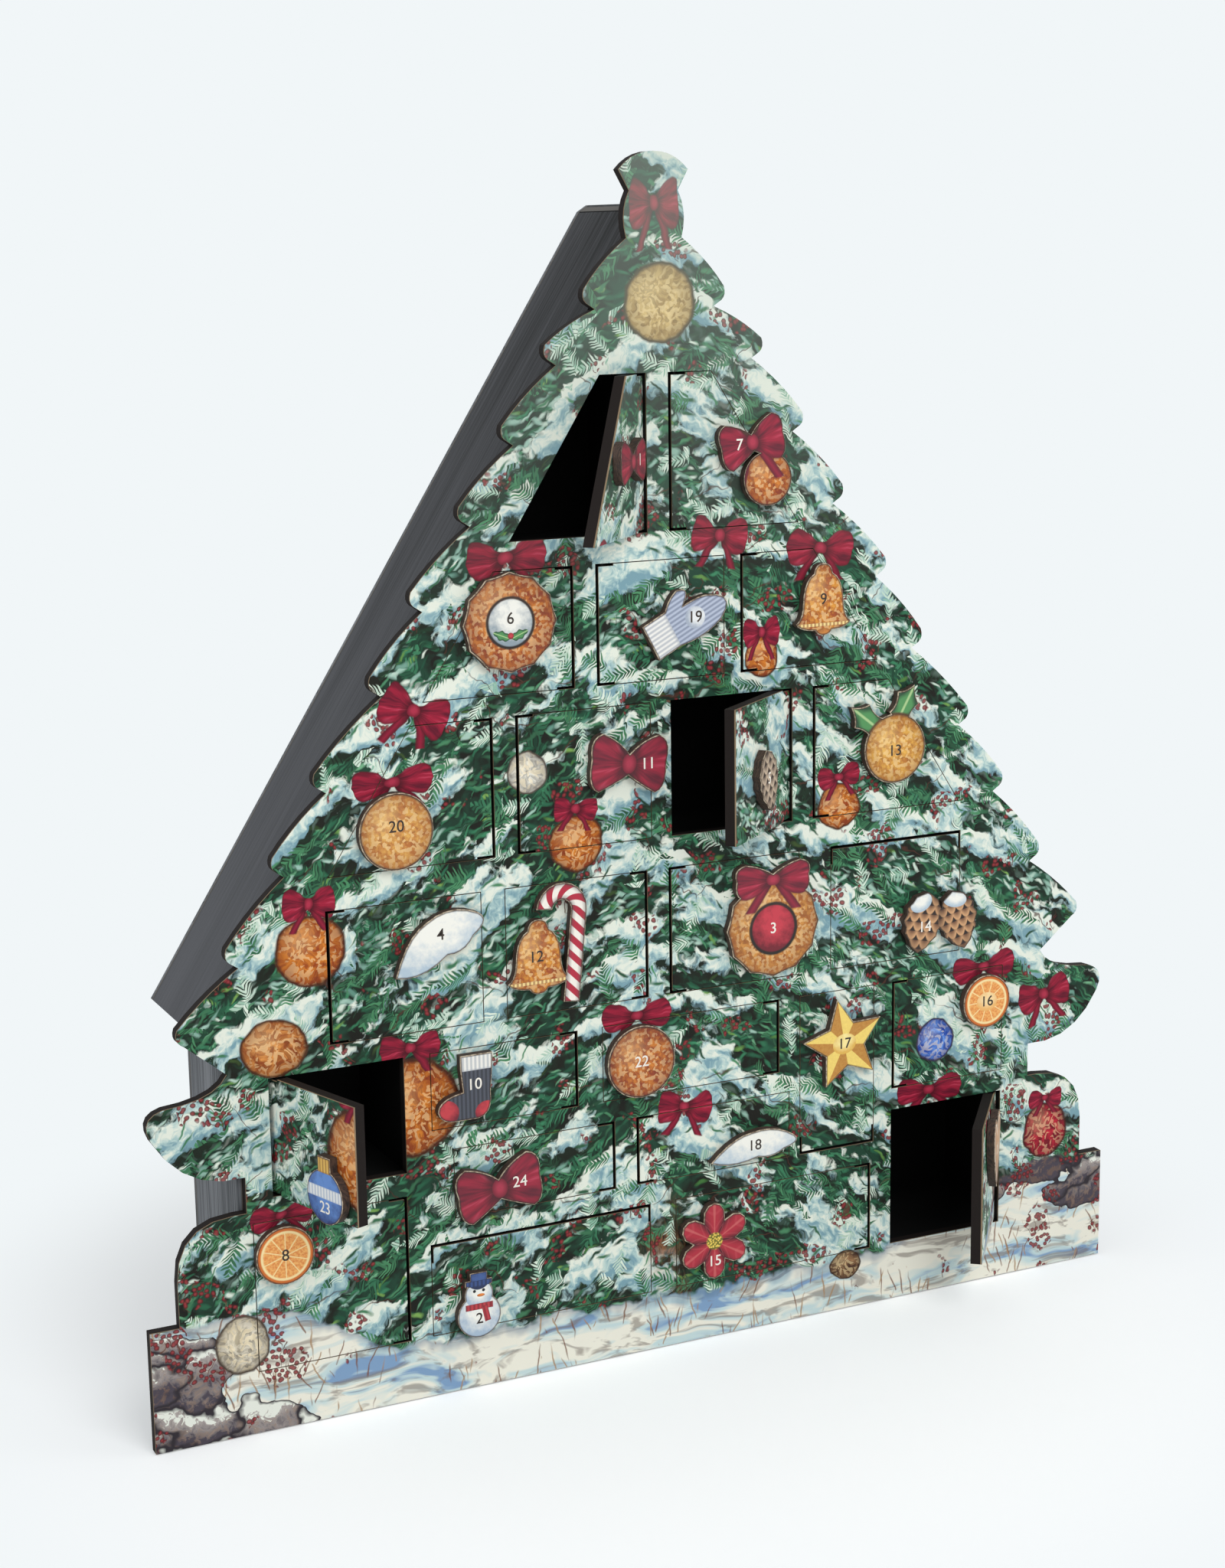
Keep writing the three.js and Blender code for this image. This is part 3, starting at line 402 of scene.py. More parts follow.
# %% Holly leaf: a pointed oval with a pale midrib
leaf_brush, ins, ends = start_brush("leaf_brush")
tree = leaf_brush
axes = add(tree, "SeparateXYZ", ins["Local"])
aside = add(tree, "Math", axes.outputs[0], operation="ABSOLUTE")
along = axes.outputs[1]
wave = add(tree, "Math", along, 9.0, operation="MULTIPLY")
wave = add(tree, "Math", wave, operation="SINE")
square = add(tree, "Math", along, along, operation="MULTIPLY")
broad = add(tree, "Math", square, -0.8, 0.85, operation="MULTIPLY_ADD")
broad = add(tree, "Math", wave, 0.12, broad, operation="MULTIPLY_ADD")
inside = add(tree, "Math", broad, aside, operation="SUBTRACT")
rib = add(tree, "MapRange", aside, 0.04, 0.12, 1, 0)
gloss = add(tree, "MapRange", inside, 0.05, 0.45, 0, 1)
colour = add(tree, "Mix", gloss, ink("#1B4029"), ink("#4E8F54"))
colour = add(tree, "Mix", rib, colour, ink("#A9C98C"))
end_brush(tree, ends, colour, add(tree, "MapRange", inside, -0.02, 0.04, 0, 1))
print("leaf brush:", len(tree.nodes), "nodes")

# %% Orange slice: ten segments, then white pith and peel
slice_brush, ins, ends = start_brush("slice_brush")
tree = slice_brush
axes = add(tree, "SeparateXYZ", ins["Local"])
away = add(tree, "VectorMath", ins["Local"], operation="LENGTH").outputs["Value"]
angle = add(tree, "Math", axes.outputs[0], axes.outputs[1], operation="ARCTAN2")
spoke = add(tree, "Math", angle, 5.0, operation="MULTIPLY")
spoke = add(tree, "Math", spoke, operation="SINE")
spoke = add(tree, "Math", spoke, operation="ABSOLUTE")
spoke = add(tree, "Math", spoke, away, operation="MULTIPLY")
pulp = add(tree, "TexNoise", ins["Grain"], 0.9, 2.0, 0.6, noise_dimensions="2D").outputs["Fac"]
flesh = add(tree, "Mix", add(tree, "MapRange", pulp, 0.35, 0.65, 0, 1), ink("#E0863F"), ink("#F3B565"))
flesh = add(tree, "Mix", add(tree, "MapRange", spoke, 0.04, 0.14, 0.9, 0), flesh, ink("#FBE3A4"))
flesh = add(tree, "Mix", add(tree, "MapRange", away, 0.74, 0.79, 0, 1), flesh, ink("#F7DFA2"))
flesh = add(tree, "Mix", add(tree, "MapRange", away, 0.83, 0.87, 0, 1), flesh, ink("#CE6A1C"))
flesh = add(tree, "Mix", add(tree, "MapRange", away, 0.94, 0.99, 0, 0.9), flesh, ink("#4A2412"))
end_brush(tree, ends, flesh, add(tree, "MapRange", away, 0.99, 1.04, 1, 0))
print("slice brush:", len(tree.nodes), "nodes")

# %% Poinsettia: six dark red petals with veins, and yellow stamens
petal_brush, ins, ends = start_brush("petal_brush")
tree = petal_brush
axes = add(tree, "SeparateXYZ", ins["Local"])
away = add(tree, "VectorMath", ins["Local"], operation="LENGTH").outputs["Value"]
angle = add(tree, "Math", axes.outputs[0], axes.outputs[1], operation="ARCTAN2")
swing = add(tree, "Math", angle, 3.0, operation="MULTIPLY")
swing = add(tree, "Math", swing, operation="COSINE")
middle = add(tree, "Math", swing, operation="ABSOLUTE")
vein = add(tree, "Math", away, 16.0, operation="MULTIPLY")
vein = add(tree, "Math", middle, 9.0, vein, operation="MULTIPLY_ADD")
vein = add(tree, "Math", vein, operation="SINE")
colour = add(tree, "Mix", add(tree, "MapRange", middle, 0.1, 0.9, 0, 1), ink("#520C1C"), ink("#AE2236"))
colour = add(tree, "Mix", add(tree, "MapRange", vein, 0.6, 1.0, 0, 0.3), colour, ink("#C8505A"))
colour = add(tree, "Mix", add(tree, "MapRange", middle, 0.985, 0.998, 0, 0.6), colour, ink("#D06A68"))
pollen = add(tree, "TexVoronoi", ins["Grain"], 0.9, voronoi_dimensions="2D").outputs["Distance"]
stamen = add(tree, "Mix", add(tree, "MapRange", pollen, 0.2, 0.5, 0, 1), ink("#F3D25C"), ink("#6E6A20"))
colour = add(tree, "Mix", add(tree, "MapRange", away, 0.2, 0.24, 1, 0), colour, stamen)
end_brush(tree, ends, colour, add(tree, "MapRange", away, 0.99, 1.04, 1, 0))
print("petal brush:", len(tree.nodes), "nodes")

# %% Star: five points, each with a bright and a dark facet, dusted with gold
star_brush, ins, ends = start_brush("star_brush")
tree = star_brush
axes = add(tree, "SeparateXYZ", ins["Local"])
angle = add(tree, "Math", axes.outputs[0], axes.outputs[1], operation="ARCTAN2")
turns = add(tree, "Math", angle, 5 / math.tau, 5.0, operation="MULTIPLY_ADD")
turns = add(tree, "Math", turns, operation="FRACT")
facet = add(tree, "MapRange", turns, 0.48, 0.52, 0, 1)
dust = add(tree, "TexNoise", ins["Grain"], 0.8, 3.0, 0.7, noise_dimensions="2D").outputs["Fac"]
facet = add(tree, "Math", dust, 0.5, facet, operation="MULTIPLY_ADD")
colour = add(tree, "Mix", add(tree, "MapRange", facet, 0.1, 1.4, 0, 1), ink("#F8DC74"), ink("#B5752A"))
away = add(tree, "VectorMath", ins["Local"], operation="LENGTH").outputs["Value"]
end_brush(tree, ends, colour, add(tree, "MapRange", away, 0.99, 1.04, 1, 0))
print("star brush:", len(tree.nodes), "nodes")

# %% [markdown]
# ## Sugar cane
# The cane is a straight stick of white sugar that ends in a half ring, with red stripes wound around it. Its
# stripes have to run on around the bend, so they are counted by the length along the cane. That length goes
# up the stick, and then by the angle around the middle of the bend.

# %% Sugar cane, in millimetres
stick_length, bend_radius, stripe_pitch = 15.3, 7.7, 6.5
cane_brush, ins, ends = start_brush("cane_brush")
tree = cane_brush
bend_middle = (0, stick_length, 0)
axes = add(tree, "SeparateXYZ", ins["Grain"])
from_bend = add(tree, "VectorMath", ins["Grain"], bend_middle, operation="SUBTRACT")
ring = add(tree, "VectorMath", from_bend, operation="LENGTH").outputs["Value"]
stick_off = add(tree, "Math", axes.outputs[0], bend_radius, operation="SUBTRACT")
ring_off = add(tree, "Math", ring, bend_radius, operation="SUBTRACT")
in_bend = add(tree, "Math", axes.outputs[1], stick_length, operation="GREATER_THAN")
off = add(tree, "Mix", in_bend, stick_off, ring_off, data_type="FLOAT")
bend_axes = add(tree, "SeparateXYZ", from_bend)
around = add(tree, "Math", bend_axes.outputs[1], bend_axes.outputs[0], operation="ARCTAN2")
bend_length = add(tree, "Math", around, bend_radius, stick_length, operation="MULTIPLY_ADD")
length = add(tree, "Mix", in_bend, axes.outputs[1], bend_length, data_type="FLOAT")
stripe = add(tree, "Math", off, 0.8, length, operation="MULTIPLY_ADD")
stripe = add(tree, "Math", stripe, math.tau / stripe_pitch, operation="MULTIPLY")
stripe = add(tree, "Math", stripe, operation="SINE")
colour = add(tree, "Mix", add(tree, "MapRange", stripe, -0.1, 0.1, 0, 1), ink("#F3EEE4"), ink("#B3203A"))
thin = add(tree, "Math", off, operation="ABSOLUTE")
colour = add(tree, "Mix", add(tree, "MapRange", thin, 1.2, 3.4, 0, 0.75), colour, ink("#4C3A3C"))
end_brush(tree, ends, colour, add(tree, "MapRange", thin, 3.5, 3.7, 1, 0))
print("cane brush:", len(tree.nodes), "nodes")

# %% [markdown]
# ## The printed picture
# The print shows fir boughs under snow. It isn't an image here but a procedure, so it has no pixels and it
# runs on over the doors. It is built up from the back to the front, as a painter would do it: deep green and
# strokes of four lighter greens, needles, small clumps of snow, deep snow along the boughs, and more strokes
# and needles that come out through it. Then come the snowy ground with its stones, the berries, and the
# painted balls and bows.
# Strokes are scattered one to a Voronoi cell. The cell gives the stroke its centre, and random numbers for
# its tilt and its shade. Particles could scatter them too, but they would be thousands of small pieces.
# A twig's needles are stripes that lean forward on both sides of it, 1.5 to 1.9 mm apart. The real print's
# are finer, but this is as fine as it shows from a step away.


# %% Twigs: one to a cell, as stripes that lean forward from the twig
def twigs(tree, place, spacing, seed, spread, pitch, reach):
    """Returns the twigs' mask, a random shade for each needle, and the cell's chances.

    spacing, pitch and reach are in mm: between twigs, between needles, and how far a needle reaches.
    """
    scale = (1 / spacing,) * 3
    scaled = add(tree, "VectorMath", place, scale, (seed, seed * 0.37, 0), operation="MULTIPLY_ADD")
    cell = add(tree, "TexVoronoi", scaled, 1.0, voronoi_dimensions="2D")
    local = add(tree, "VectorMath", scaled, cell.outputs["Position"], operation="SUBTRACT")
    chance = add(tree, "SeparateColor", cell.outputs["Color"])
    swing = add(tree, "MapRange", chance.outputs[0], 0, 1, -spread / 2, spread / 2)
    turned = add(tree, "VectorRotate", local, (0, 0, 0), swing, rotation_type="Z_AXIS")
    axes = add(tree, "SeparateXYZ", turned)
    along = add(tree, "Math", axes.outputs[0], spacing, operation="MULTIPLY")
    across = add(tree, "Math", axes.outputs[1], spacing, operation="MULTIPLY")
    aside = add(tree, "Math", across, operation="ABSOLUTE")
    stripe = add(tree, "Math", aside, 0.9, along, operation="MULTIPLY_ADD")
    count = add(tree, "Math", stripe, pitch, operation="DIVIDE")
    number = add(tree, "Math", count, operation="FLOOR")
    side = add(tree, "Math", across, operation="SIGN")
    label = add(tree, "CombineXYZ", number, side, chance.outputs[1])
    needle = add(tree, "TexWhiteNoise", label, noise_dimensions="3D").outputs["Value"]
    phase = add(tree, "Math", count, operation="FRACT")
    middle = add(tree, "Math", phase, 0.5, operation="SUBTRACT")
    off = add(tree, "Math", middle, operation="ABSOLUTE")
    longest = spacing * 0.62
    bend = add(tree, "Math", along, longest, operation="DIVIDE")
    bend = add(tree, "Math", bend, bend, operation="MULTIPLY")
    taper = add(tree, "Math", 1.0, bend, operation="SUBTRACT")
    uneven = add(tree, "MapRange", needle, 0, 1, 0.55 * reach, 1.25 * reach)
    limit = add(tree, "Math", taper, uneven, operation="MULTIPLY")
    share = add(tree, "Math", aside, limit, operation="DIVIDE")
    inside = add(tree, "MapRange", share, 1.0, 0.75, 0, 1)
    width = add(tree, "MapRange", share, 0, 1, 0.4, 0.16)
    gap = add(tree, "Math", width, off, operation="SUBTRACT")
    stroke = add(tree, "MapRange", gap, -0.08, 0.1, 0, 1)
    mask = add(tree, "Math", stroke, inside, operation="MULTIPLY")
    return mask, needle, chance


print("twigs give a mask, a shade and the cell's chances")


# %% Dabs: one short stroke of a brush to a cell
def dabs(tree, place, cell, size, seed, spread):
    """Strokes of a length and width in mm, in cells of a size in mm. Returns their mask and their chances."""
    scale = (1 / cell[0], 1 / cell[1], 0)
    scaled = add(tree, "VectorMath", place, scale, (seed, seed * 0.37, 0), operation="MULTIPLY_ADD")
    grid = add(tree, "TexVoronoi", scaled, 1.0, voronoi_dimensions="2D")
    local = add(tree, "VectorMath", scaled, grid.outputs["Position"], operation="SUBTRACT")
    local = add(tree, "VectorMath", local, (cell[0], cell[1], 0), operation="MULTIPLY")
    chance = add(tree, "SeparateColor", grid.outputs["Color"])
    lead = 0 if size[0] > size[1] else 1
    axes = add(tree, "SeparateXYZ", local)
    tilt = add(tree, "MapRange", chance.outputs[0], 0, 1, -spread / 2, spread / 2)
    tilted = add(tree, "Math", axes.outputs[lead], tilt, axes.outputs[1 - lead], operation="MULTIPLY_ADD")
    lengthwise = add(tree, "Math", axes.outputs[lead], 2 / size[lead], operation="MULTIPLY")
    crosswise = add(tree, "Math", tilted, 2 / size[1 - lead], operation="MULTIPLY")
    away = add(tree, "VectorMath", add(tree, "CombineXYZ", lengthwise, crosswise, 0.0), operation="LENGTH")
    return add(tree, "MapRange", away, 1.05, 0.35, 0, 1), chance


def lay(tree, paint, strokes, chance, share, dark, light, shade=None):
    """Lays strokes over the paint, in a share of the cells, each in its own shade between dark and light."""
    some = add(tree, "Math", chance.outputs[2], share, operation="LESS_THAN")
    mask = add(tree, "Math", strokes, some, operation="MULTIPLY")
    tone = add(tree, "Mix", chance.outputs[1] if shade is None else shade, ink(dark), ink(light))
    return add(tree, "Mix", mask, paint, tone)


print("dabs give a mask and the cell's chances")


# %% Snow: soft pads drawn out along the bough, as one broad noise with ragged edges
def snow_depth(tree, place):
    """How deep the snow lies at a place, in no unit: above 0.6 it starts to cover the bough."""
    broad_place = add(tree, "VectorMath", place, (1 / 33, 1 / 18, 0), operation="MULTIPLY")
    broad = add(tree, "TexNoise", broad_place, 1.0, 2.0, 0.5, noise_dimensions="2D").outputs["Fac"]
    fine = add(tree, "TexNoise", place, 0.26, 3.0, 0.6, noise_dimensions="2D").outputs["Fac"]
    return add(tree, "Math", fine, 0.22, broad, operation="MULTIPLY_ADD")


print("snow pads: 33 by 18 mm")

# %% [markdown]
# ## One layer after another
# The renderer has room for 255 numbers while it works out a material. It starts on every layer that it can,
# and so many layers at once would need more than that, which leaves the board black. So the place of each
# layer is nudged by the paint under it, times nothing. That moves nothing, but the layer has to wait for it.


# %% A place that waits
def after(tree, paint, place):
    """The same place, worked out once the paint under it is there."""
    return add(tree, "VectorMath", paint, (0, 0, 0), place, operation="MULTIPLY_ADD")


print("a layer waits for the one below")

# %% The picture is one node group, in millimetres, with X across and Z up the board
picture = bpy.data.node_groups.new("bough_picture", "ShaderNodeTree")
picture.interface.new_socket("Place", in_out="INPUT", socket_type="NodeSocketVector")
picture.interface.new_socket("Color", in_out="OUTPUT", socket_type="NodeSocketColor")
entry = picture.nodes.new("NodeGroupInput")
exit_node = picture.nodes.new("NodeGroupOutput")

metres = add(picture, "SeparateXYZ", entry.outputs["Place"])
across = add(picture, "Math", metres.outputs[0], 1000.0, operation="MULTIPLY")
height = add(picture, "Math", metres.outputs[2], 1000.0, operation="MULTIPLY")
plain_place = add(picture, "CombineXYZ", across, height, 0.0)
sideways = add(picture, "Math", across, operation="ABSOLUTE")
print("picture: place in, colour out")

# %% A brush never follows a ruler, so places are shaken
# Snow is shaken by about three millimetres, strokes by half of that, and what is drawn over them by one.
shake = add(picture, "TexNoise", plain_place, 0.11, 2.0, 0.5, noise_dimensions="2D")
centred = add(picture, "VectorMath", shake.outputs["Color"], (0.5, 0.5, 0.5), operation="SUBTRACT")
place = add(picture, "VectorMath", centred, (8, 8, 0), plain_place, operation="MULTIPLY_ADD")
stroke_place = add(picture, "VectorMath", centred, (4, 4, 0), plain_place, operation="MULTIPLY_ADD")
drawn_place = add(picture, "VectorMath", centred, (2.5, 2.5, 0), plain_place, operation="MULTIPLY_ADD")

wave_place = add(picture, "VectorMath", plain_place, (0.02, 0.05, 0), operation="MULTIPLY")
wave = add(picture, "TexNoise", wave_place, 1.0, 2.0, 0.5, noise_dimensions="2D").outputs["Color"]
wave = add(picture, "VectorMath", wave, (0.5, 0.5, 0.5), operation="SUBTRACT")
print("shaken places: snow, strokes and drawn lines")

# %% Boughs hang outwards and down on both sides of the trunk, so heights are measured along them
fall, bend_over = 0.46, 30.0
shaken = add(picture, "SeparateXYZ", place)
square = add(picture, "Math", shaken.outputs[0], shaken.outputs[0], operation="MULTIPLY")
square = add(picture, "Math", square, bend_over ** 2, operation="ADD")
hang = add(picture, "Math", square, operation="SQRT")
lift = add(picture, "CombineXYZ", 0.0, add(picture, "Math", hang, fall, operation="MULTIPLY"), 0.0)
bough = add(picture, "VectorMath", place, lift, operation="ADD")
stroke = add(picture, "VectorMath", stroke_place, lift, operation="ADD")
print("boughs fall by", round(math.degrees(math.atan(fall))), "degrees")

# %% Deep green, with strokes of four lighter greens over it
mottle = add(picture, "TexNoise", bough, 0.08, 3.0, 0.6, noise_dimensions="2D").outputs["Fac"]
mottled = add(picture, "MapRange", mottle, 0.4, 0.62, 0, 1)
paint = add(picture, "Mix", mottled, ink("#14150F"), ink("#1D4030"))
greens = (
    (3.1, 0.75, (8, 4.5), (9, 2.6), "#12291F", "#2C6A4C"), (11.7, 0.5, (7, 4), (7, 2), "#1D4A36", "#3F8A62"),
    (23.9, 0.3, (7, 4.5), (6, 1.6), "#3B7A56", "#74AF86"), (29.3, 0.22, (9, 5), (7, 2), "#3A6F36", "#7FA957"),
)
for seed, share, cell, size, dark, light in greens:
    mask, chance = dabs(picture, stroke, cell, size, seed, 1.7)
    paint = lay(picture, paint, mask, chance, share, dark, light)
print("greens:", len(greens))

# %% Needles stand out on some twigs
stroke = after(picture, paint, stroke)
mask, needle, chance = twigs(picture, stroke, 17.0, 3.1, 2.6, 1.9, 5.5)
paint = lay(picture, paint, mask, chance, 0.55, "#143426", "#3C7D5A", shade=needle)
print("with needles:", len(picture.nodes), "nodes")

# %% Small clumps of snow lie on the needles
bough = after(picture, paint, bough)
stroke = after(picture, paint, stroke)
thin_place = add(picture, "VectorMath", bough, (0.03, 0.06, 0), operation="MULTIPLY")
thin_snow = add(picture, "TexNoise", thin_place, 1.0, 2.0, 0.5, noise_dimensions="2D").outputs["Fac"]
clumps = (
    (31.3, 0.46, (7, 4), (7.5, 2.8), "#5C8C7C", "#A9CCBC"),
    (57.7, 0.52, (6, 3.6), (5.5, 2.2), "#94BDAE", "#E2EBDD"),
)
for seed, least, cell, size, dark, light in clumps:
    mask, chance = dabs(picture, stroke, cell, size, seed, 1.9)
    bar = add(picture, "Math", chance.outputs[2], 0.2, least, operation="MULTIPLY_ADD")
    over = add(picture, "Math", thin_snow, bar, operation="SUBTRACT")
    some = add(picture, "MapRange", over, -0.03, 0.0, 0, 1)
    mask = add(picture, "Math", mask, some, operation="MULTIPLY")
    tone = add(picture, "Mix", chance.outputs[1], ink(dark), ink(light))
    paint = add(picture, "Mix", mask, paint, tone)
print("layers of clumps:", len(clumps))

# %% [markdown]
# ## Deep snow
# Snow lies in long pads on the boughs. One broad noise says how deep it is, and where it is deep enough it
# covers the green. The same noise read a few millimetres higher tells the top of a pad from its underside:
# where the snow above is thinner, this is the top. The top is cream, the underside blue, and a dark gap
# opens under the pad. Displaced geometry would give that too, but a print is flat.

# %% Deep snow, with a dark gap under it, a cream top and a blue underside
gap_height = 3.8
depth = snow_depth(picture, bough)
higher = add(picture, "VectorMath", bough, (0, gap_height, 0), operation="ADD")
depth_above = snow_depth(picture, higher)
gap = add(picture, "MapRange", depth_above, 0.59, 0.63, 0, 0.8)
paint = add(picture, "Mix", gap, paint, ink("#171911"))
slope = add(picture, "Math", depth, depth_above, operation="SUBTRACT")
daub = add(picture, "TexNoise", bough, 0.35, 2.0, 0.6, noise_dimensions="2D").outputs["Fac"]
daub = add(picture, "Math", daub, 0.5, operation="SUBTRACT")
light_side = add(picture, "Math", daub, 0.35, slope, operation="MULTIPLY_ADD")
shade = add(picture, "MapRange", light_side, -0.11, 0.01, 0, 1)
snow = add(picture, "Mix", shade, ink("#7AA0AC"), ink("#B3CFCC"))
top = add(picture, "MapRange", light_side, 0.0, 0.12, 0, 1)
snow = add(picture, "Mix", top, snow, ink("#E6ECDF"))
cover = add(picture, "MapRange", depth, 0.605, 0.655, 0, 1)
paint = add(picture, "Mix", cover, paint, snow)
print("with deep snow:", len(picture.nodes), "nodes")

# %% The trunk shows between the lowest boughs
trunk_core, trunk_edge, trunk_full, trunk_end = 4, 13, 50, 72
from_trunk = add(picture, "Math", shaken.outputs[0], operation="ABSOLUTE")
trunk_side = add(picture, "MapRange", from_trunk, trunk_core, trunk_edge, 1, 0)
trunk_top = add(picture, "MapRange", shaken.outputs[1], trunk_full, trunk_end, 1, 0)
trunk = add(picture, "Math", trunk_side, trunk_top, operation="MULTIPLY")
bare = add(picture, "MapRange", thin_snow, 0.5, 0.4, 0.25, 0.9)
trunk = add(picture, "Math", trunk, bare, operation="MULTIPLY")
bark_place = add(picture, "VectorMath", place, (0.9, 0.12, 0), operation="MULTIPLY")
bark = add(picture, "TexNoise", bark_place, 1.0, 2.0, 0.6, noise_dimensions="2D").outputs["Fac"]
bark_shade = add(picture, "MapRange", bark, 0.35, 0.65, 0, 1)
bark_tone = add(picture, "Mix", bark_shade, ink("#2B1C16"), ink("#8A5C3E"))
paint = add(picture, "Mix", trunk, paint, bark_tone)
print("with the trunk:", len(picture.nodes), "nodes")

# %% Green strokes and needles come out through the snow, and a few white needles lie over them
stroke = after(picture, paint, stroke)
mask, chance = dabs(picture, stroke, (9, 5), (9, 2), 71.9, 2.2)
paint = lay(picture, paint, mask, chance, 0.42, "#153425", "#4C8A62")
mask, needle, chance = twigs(picture, stroke, 15.0, 17.7, 3.0, 1.7, 4.6)
paint = lay(picture, paint, mask, chance, 0.4, "#173B2A", "#4E8E63", shade=needle)
stroke = after(picture, paint, stroke)
mask, needle, chance = twigs(picture, stroke, 12.0, 41.9, 3.4, 1.5, 3.8)
paint = lay(picture, paint, mask, chance, 0.22, "#8DB9A2", "#E2EEDF", shade=needle)
print("with needles through the snow:", len(picture.nodes), "nodes")

# %% Thin brown twigs, 20 mm long
place = after(picture, paint, place)
mask, chance = dabs(picture, place, (22, 15), (20, 1.1), 88.3, 3.0)
some = add(picture, "Math", chance.outputs[2], 0.28, operation="LESS_THAN")
mask = add(picture, "Math", mask, some, operation="MULTIPLY")
mask = add(picture, "Math", mask, 0.8, operation="MULTIPLY")
paint = add(picture, "Mix", mask, paint, ink("#4B2E24"))
print("with brown twigs:", len(picture.nodes), "nodes")

# %% [markdown]
# ## Ground, grass and stones
# The foot of the board shows a snowy bank that rises at both ends, with blue hollows, bare earth, dry grass
# and heaps of stones. The ground is painted on its own first, and then laid over the boughs under the
# bank's line. A stone is a Voronoi cell, because such cells fit together like stones in a heap: their edges
# are the cracks, and the height inside a cell says where its snow cap starts.

# %% The line of the bank
bank_low, bank_high, flat_until, rises_until = 23, 50, 100, 190
plain_place = after(picture, paint, plain_place)
bank = add(picture, "MapRange", sideways, flat_until, rises_until, bank_low, bank_high,
           interpolation_type="SMOOTHSTEP")
hollow_place = add(picture, "VectorMath", plain_place, (0.028, 0, 0), operation="MULTIPLY")
hollow = add(picture, "TexNoise", hollow_place, 1.0, 2.0, 0.5, noise_dimensions="2D").outputs["Fac"]
bank = add(picture, "Math", hollow, 16.0, bank, operation="MULTIPLY_ADD")
bank = add(picture, "Math", bank, 8.0, operation="SUBTRACT")
under_bank = add(picture, "Math", bank, shaken.outputs[1], operation="SUBTRACT")
ground = add(picture, "MapRange", under_bank, -0.8, 0.8, 0, 1)
print("bank:", bank_low, "to", bank_high, "mm high")

# %% Snow on the ground: cream, blue in its hollows, with bare earth
drift_place = add(picture, "VectorMath", plain_place, (0.02, 0.08, 0), operation="MULTIPLY")
drift_place = add(picture, "VectorMath", wave, (1.4, 1.4, 0), drift_place, operation="MULTIPLY_ADD")
drift = add(picture, "TexNoise", drift_place, 1.0, 3.0, 0.6, noise_dimensions="2D").outputs["Fac"]
blue = add(picture, "MapRange", drift, 0.34, 0.42, 0, 1)
shaded_side = add(picture, "Mix", blue, ink("#7F9FC2"), ink("#C3D8D9"))
cream = add(picture, "MapRange", drift, 0.44, 0.54, 0, 1)
field = add(picture, "Mix", cream, shaded_side, ink("#ECEADC"))
earth_place = add(picture, "VectorMath", drift_place, (2.6, 2.6, 0), operation="MULTIPLY")
earth = add(picture, "TexNoise", earth_place, 1.0, 3.0, 0.6, noise_dimensions="2D").outputs["Fac"]
earth_share = add(picture, "MapRange", earth, 0.53, 0.66, 0, 0.65)
field = add(picture, "Mix", earth_share, field, ink("#7C7068"))
brow = add(picture, "MapRange", under_bank, 0, 5, 0.7, 0)
field = add(picture, "Mix", brow, field, ink("#5E7B94"))
print("with the ground:", len(picture.nodes), "nodes")

# %% Dry grass: blades 19 mm long, leaning here and there
drawn_place = after(picture, field, drawn_place)
patch = add(picture, "TexNoise", plain_place, 0.03, 1.0, 0.5, noise_dimensions="2D").outputs["Fac"]
for seed, shade in ((5.3, "#7B5138"), (64.1, "#A88660")):
    mask, chance = dabs(picture, drawn_place, (5, 17), (1.0, 19), seed, 1.2)
    bar = add(picture, "Math", chance.outputs[2], 0.4, 0.38, operation="MULTIPLY_ADD")
    over = add(picture, "Math", patch, bar, operation="SUBTRACT")
    some = add(picture, "MapRange", over, 0, 0.02, 0, 0.85)
    mask = add(picture, "Math", mask, some, operation="MULTIPLY")
    field = add(picture, "Mix", mask, field, ink(shade))
print("with grass:", len(picture.nodes), "nodes")

# %% Stones, capped with snow
stone_width, stone_height = 26, 17
place = after(picture, field, place)
stone_scale = (1 / stone_width, 1 / stone_height, 0)
stone_place = add(picture, "VectorMath", place, stone_scale, (0.3, 0.2, 0), operation="MULTIPLY_ADD")
stone_place = add(picture, "VectorMath", wave, (1.6, 1.6, 0), stone_place, operation="MULTIPLY_ADD")
stone = add(picture, "TexVoronoi", stone_place, 1.0, voronoi_dimensions="2D")
crack = add(picture, "TexVoronoi", stone_place, 1.0, voronoi_dimensions="2D", feature="DISTANCE_TO_EDGE")
top_side = add(picture, "VectorMath", stone_place, stone.outputs["Position"], operation="SUBTRACT")
stone_rise = add(picture, "SeparateXYZ", top_side).outputs[1]
grit = add(picture, "TexNoise", place, 0.3, 3.0, 0.7, noise_dimensions="2D").outputs["Fac"]
stone_rise = add(picture, "Math", grit, 1.1, stone_rise, operation="MULTIPLY_ADD")
stone_shade = add(picture, "MapRange", stone_rise, 0.2, 0.75, 0, 1)
stone_tone = add(picture, "Mix", stone_shade, ink("#4A444E"), ink("#A8A09C"))
brown = add(picture, "MapRange", grit, 0.5, 0.6, 0, 0.5)
stone_tone = add(picture, "Mix", brown, stone_tone, ink("#7E6350"))
cap = add(picture, "MapRange", stone_rise, 0.78, 0.86, 0, 1)
capped = add(picture, "Mix", cap, stone_tone, ink("#E6EAE0"))
cracks = add(picture, "MapRange", crack.outputs["Distance"], 0.02, 0.1, 1, 0)
stones = add(picture, "Mix", cracks, capped, ink("#2F2A30"))
print("with stones:", len(picture.nodes), "nodes")

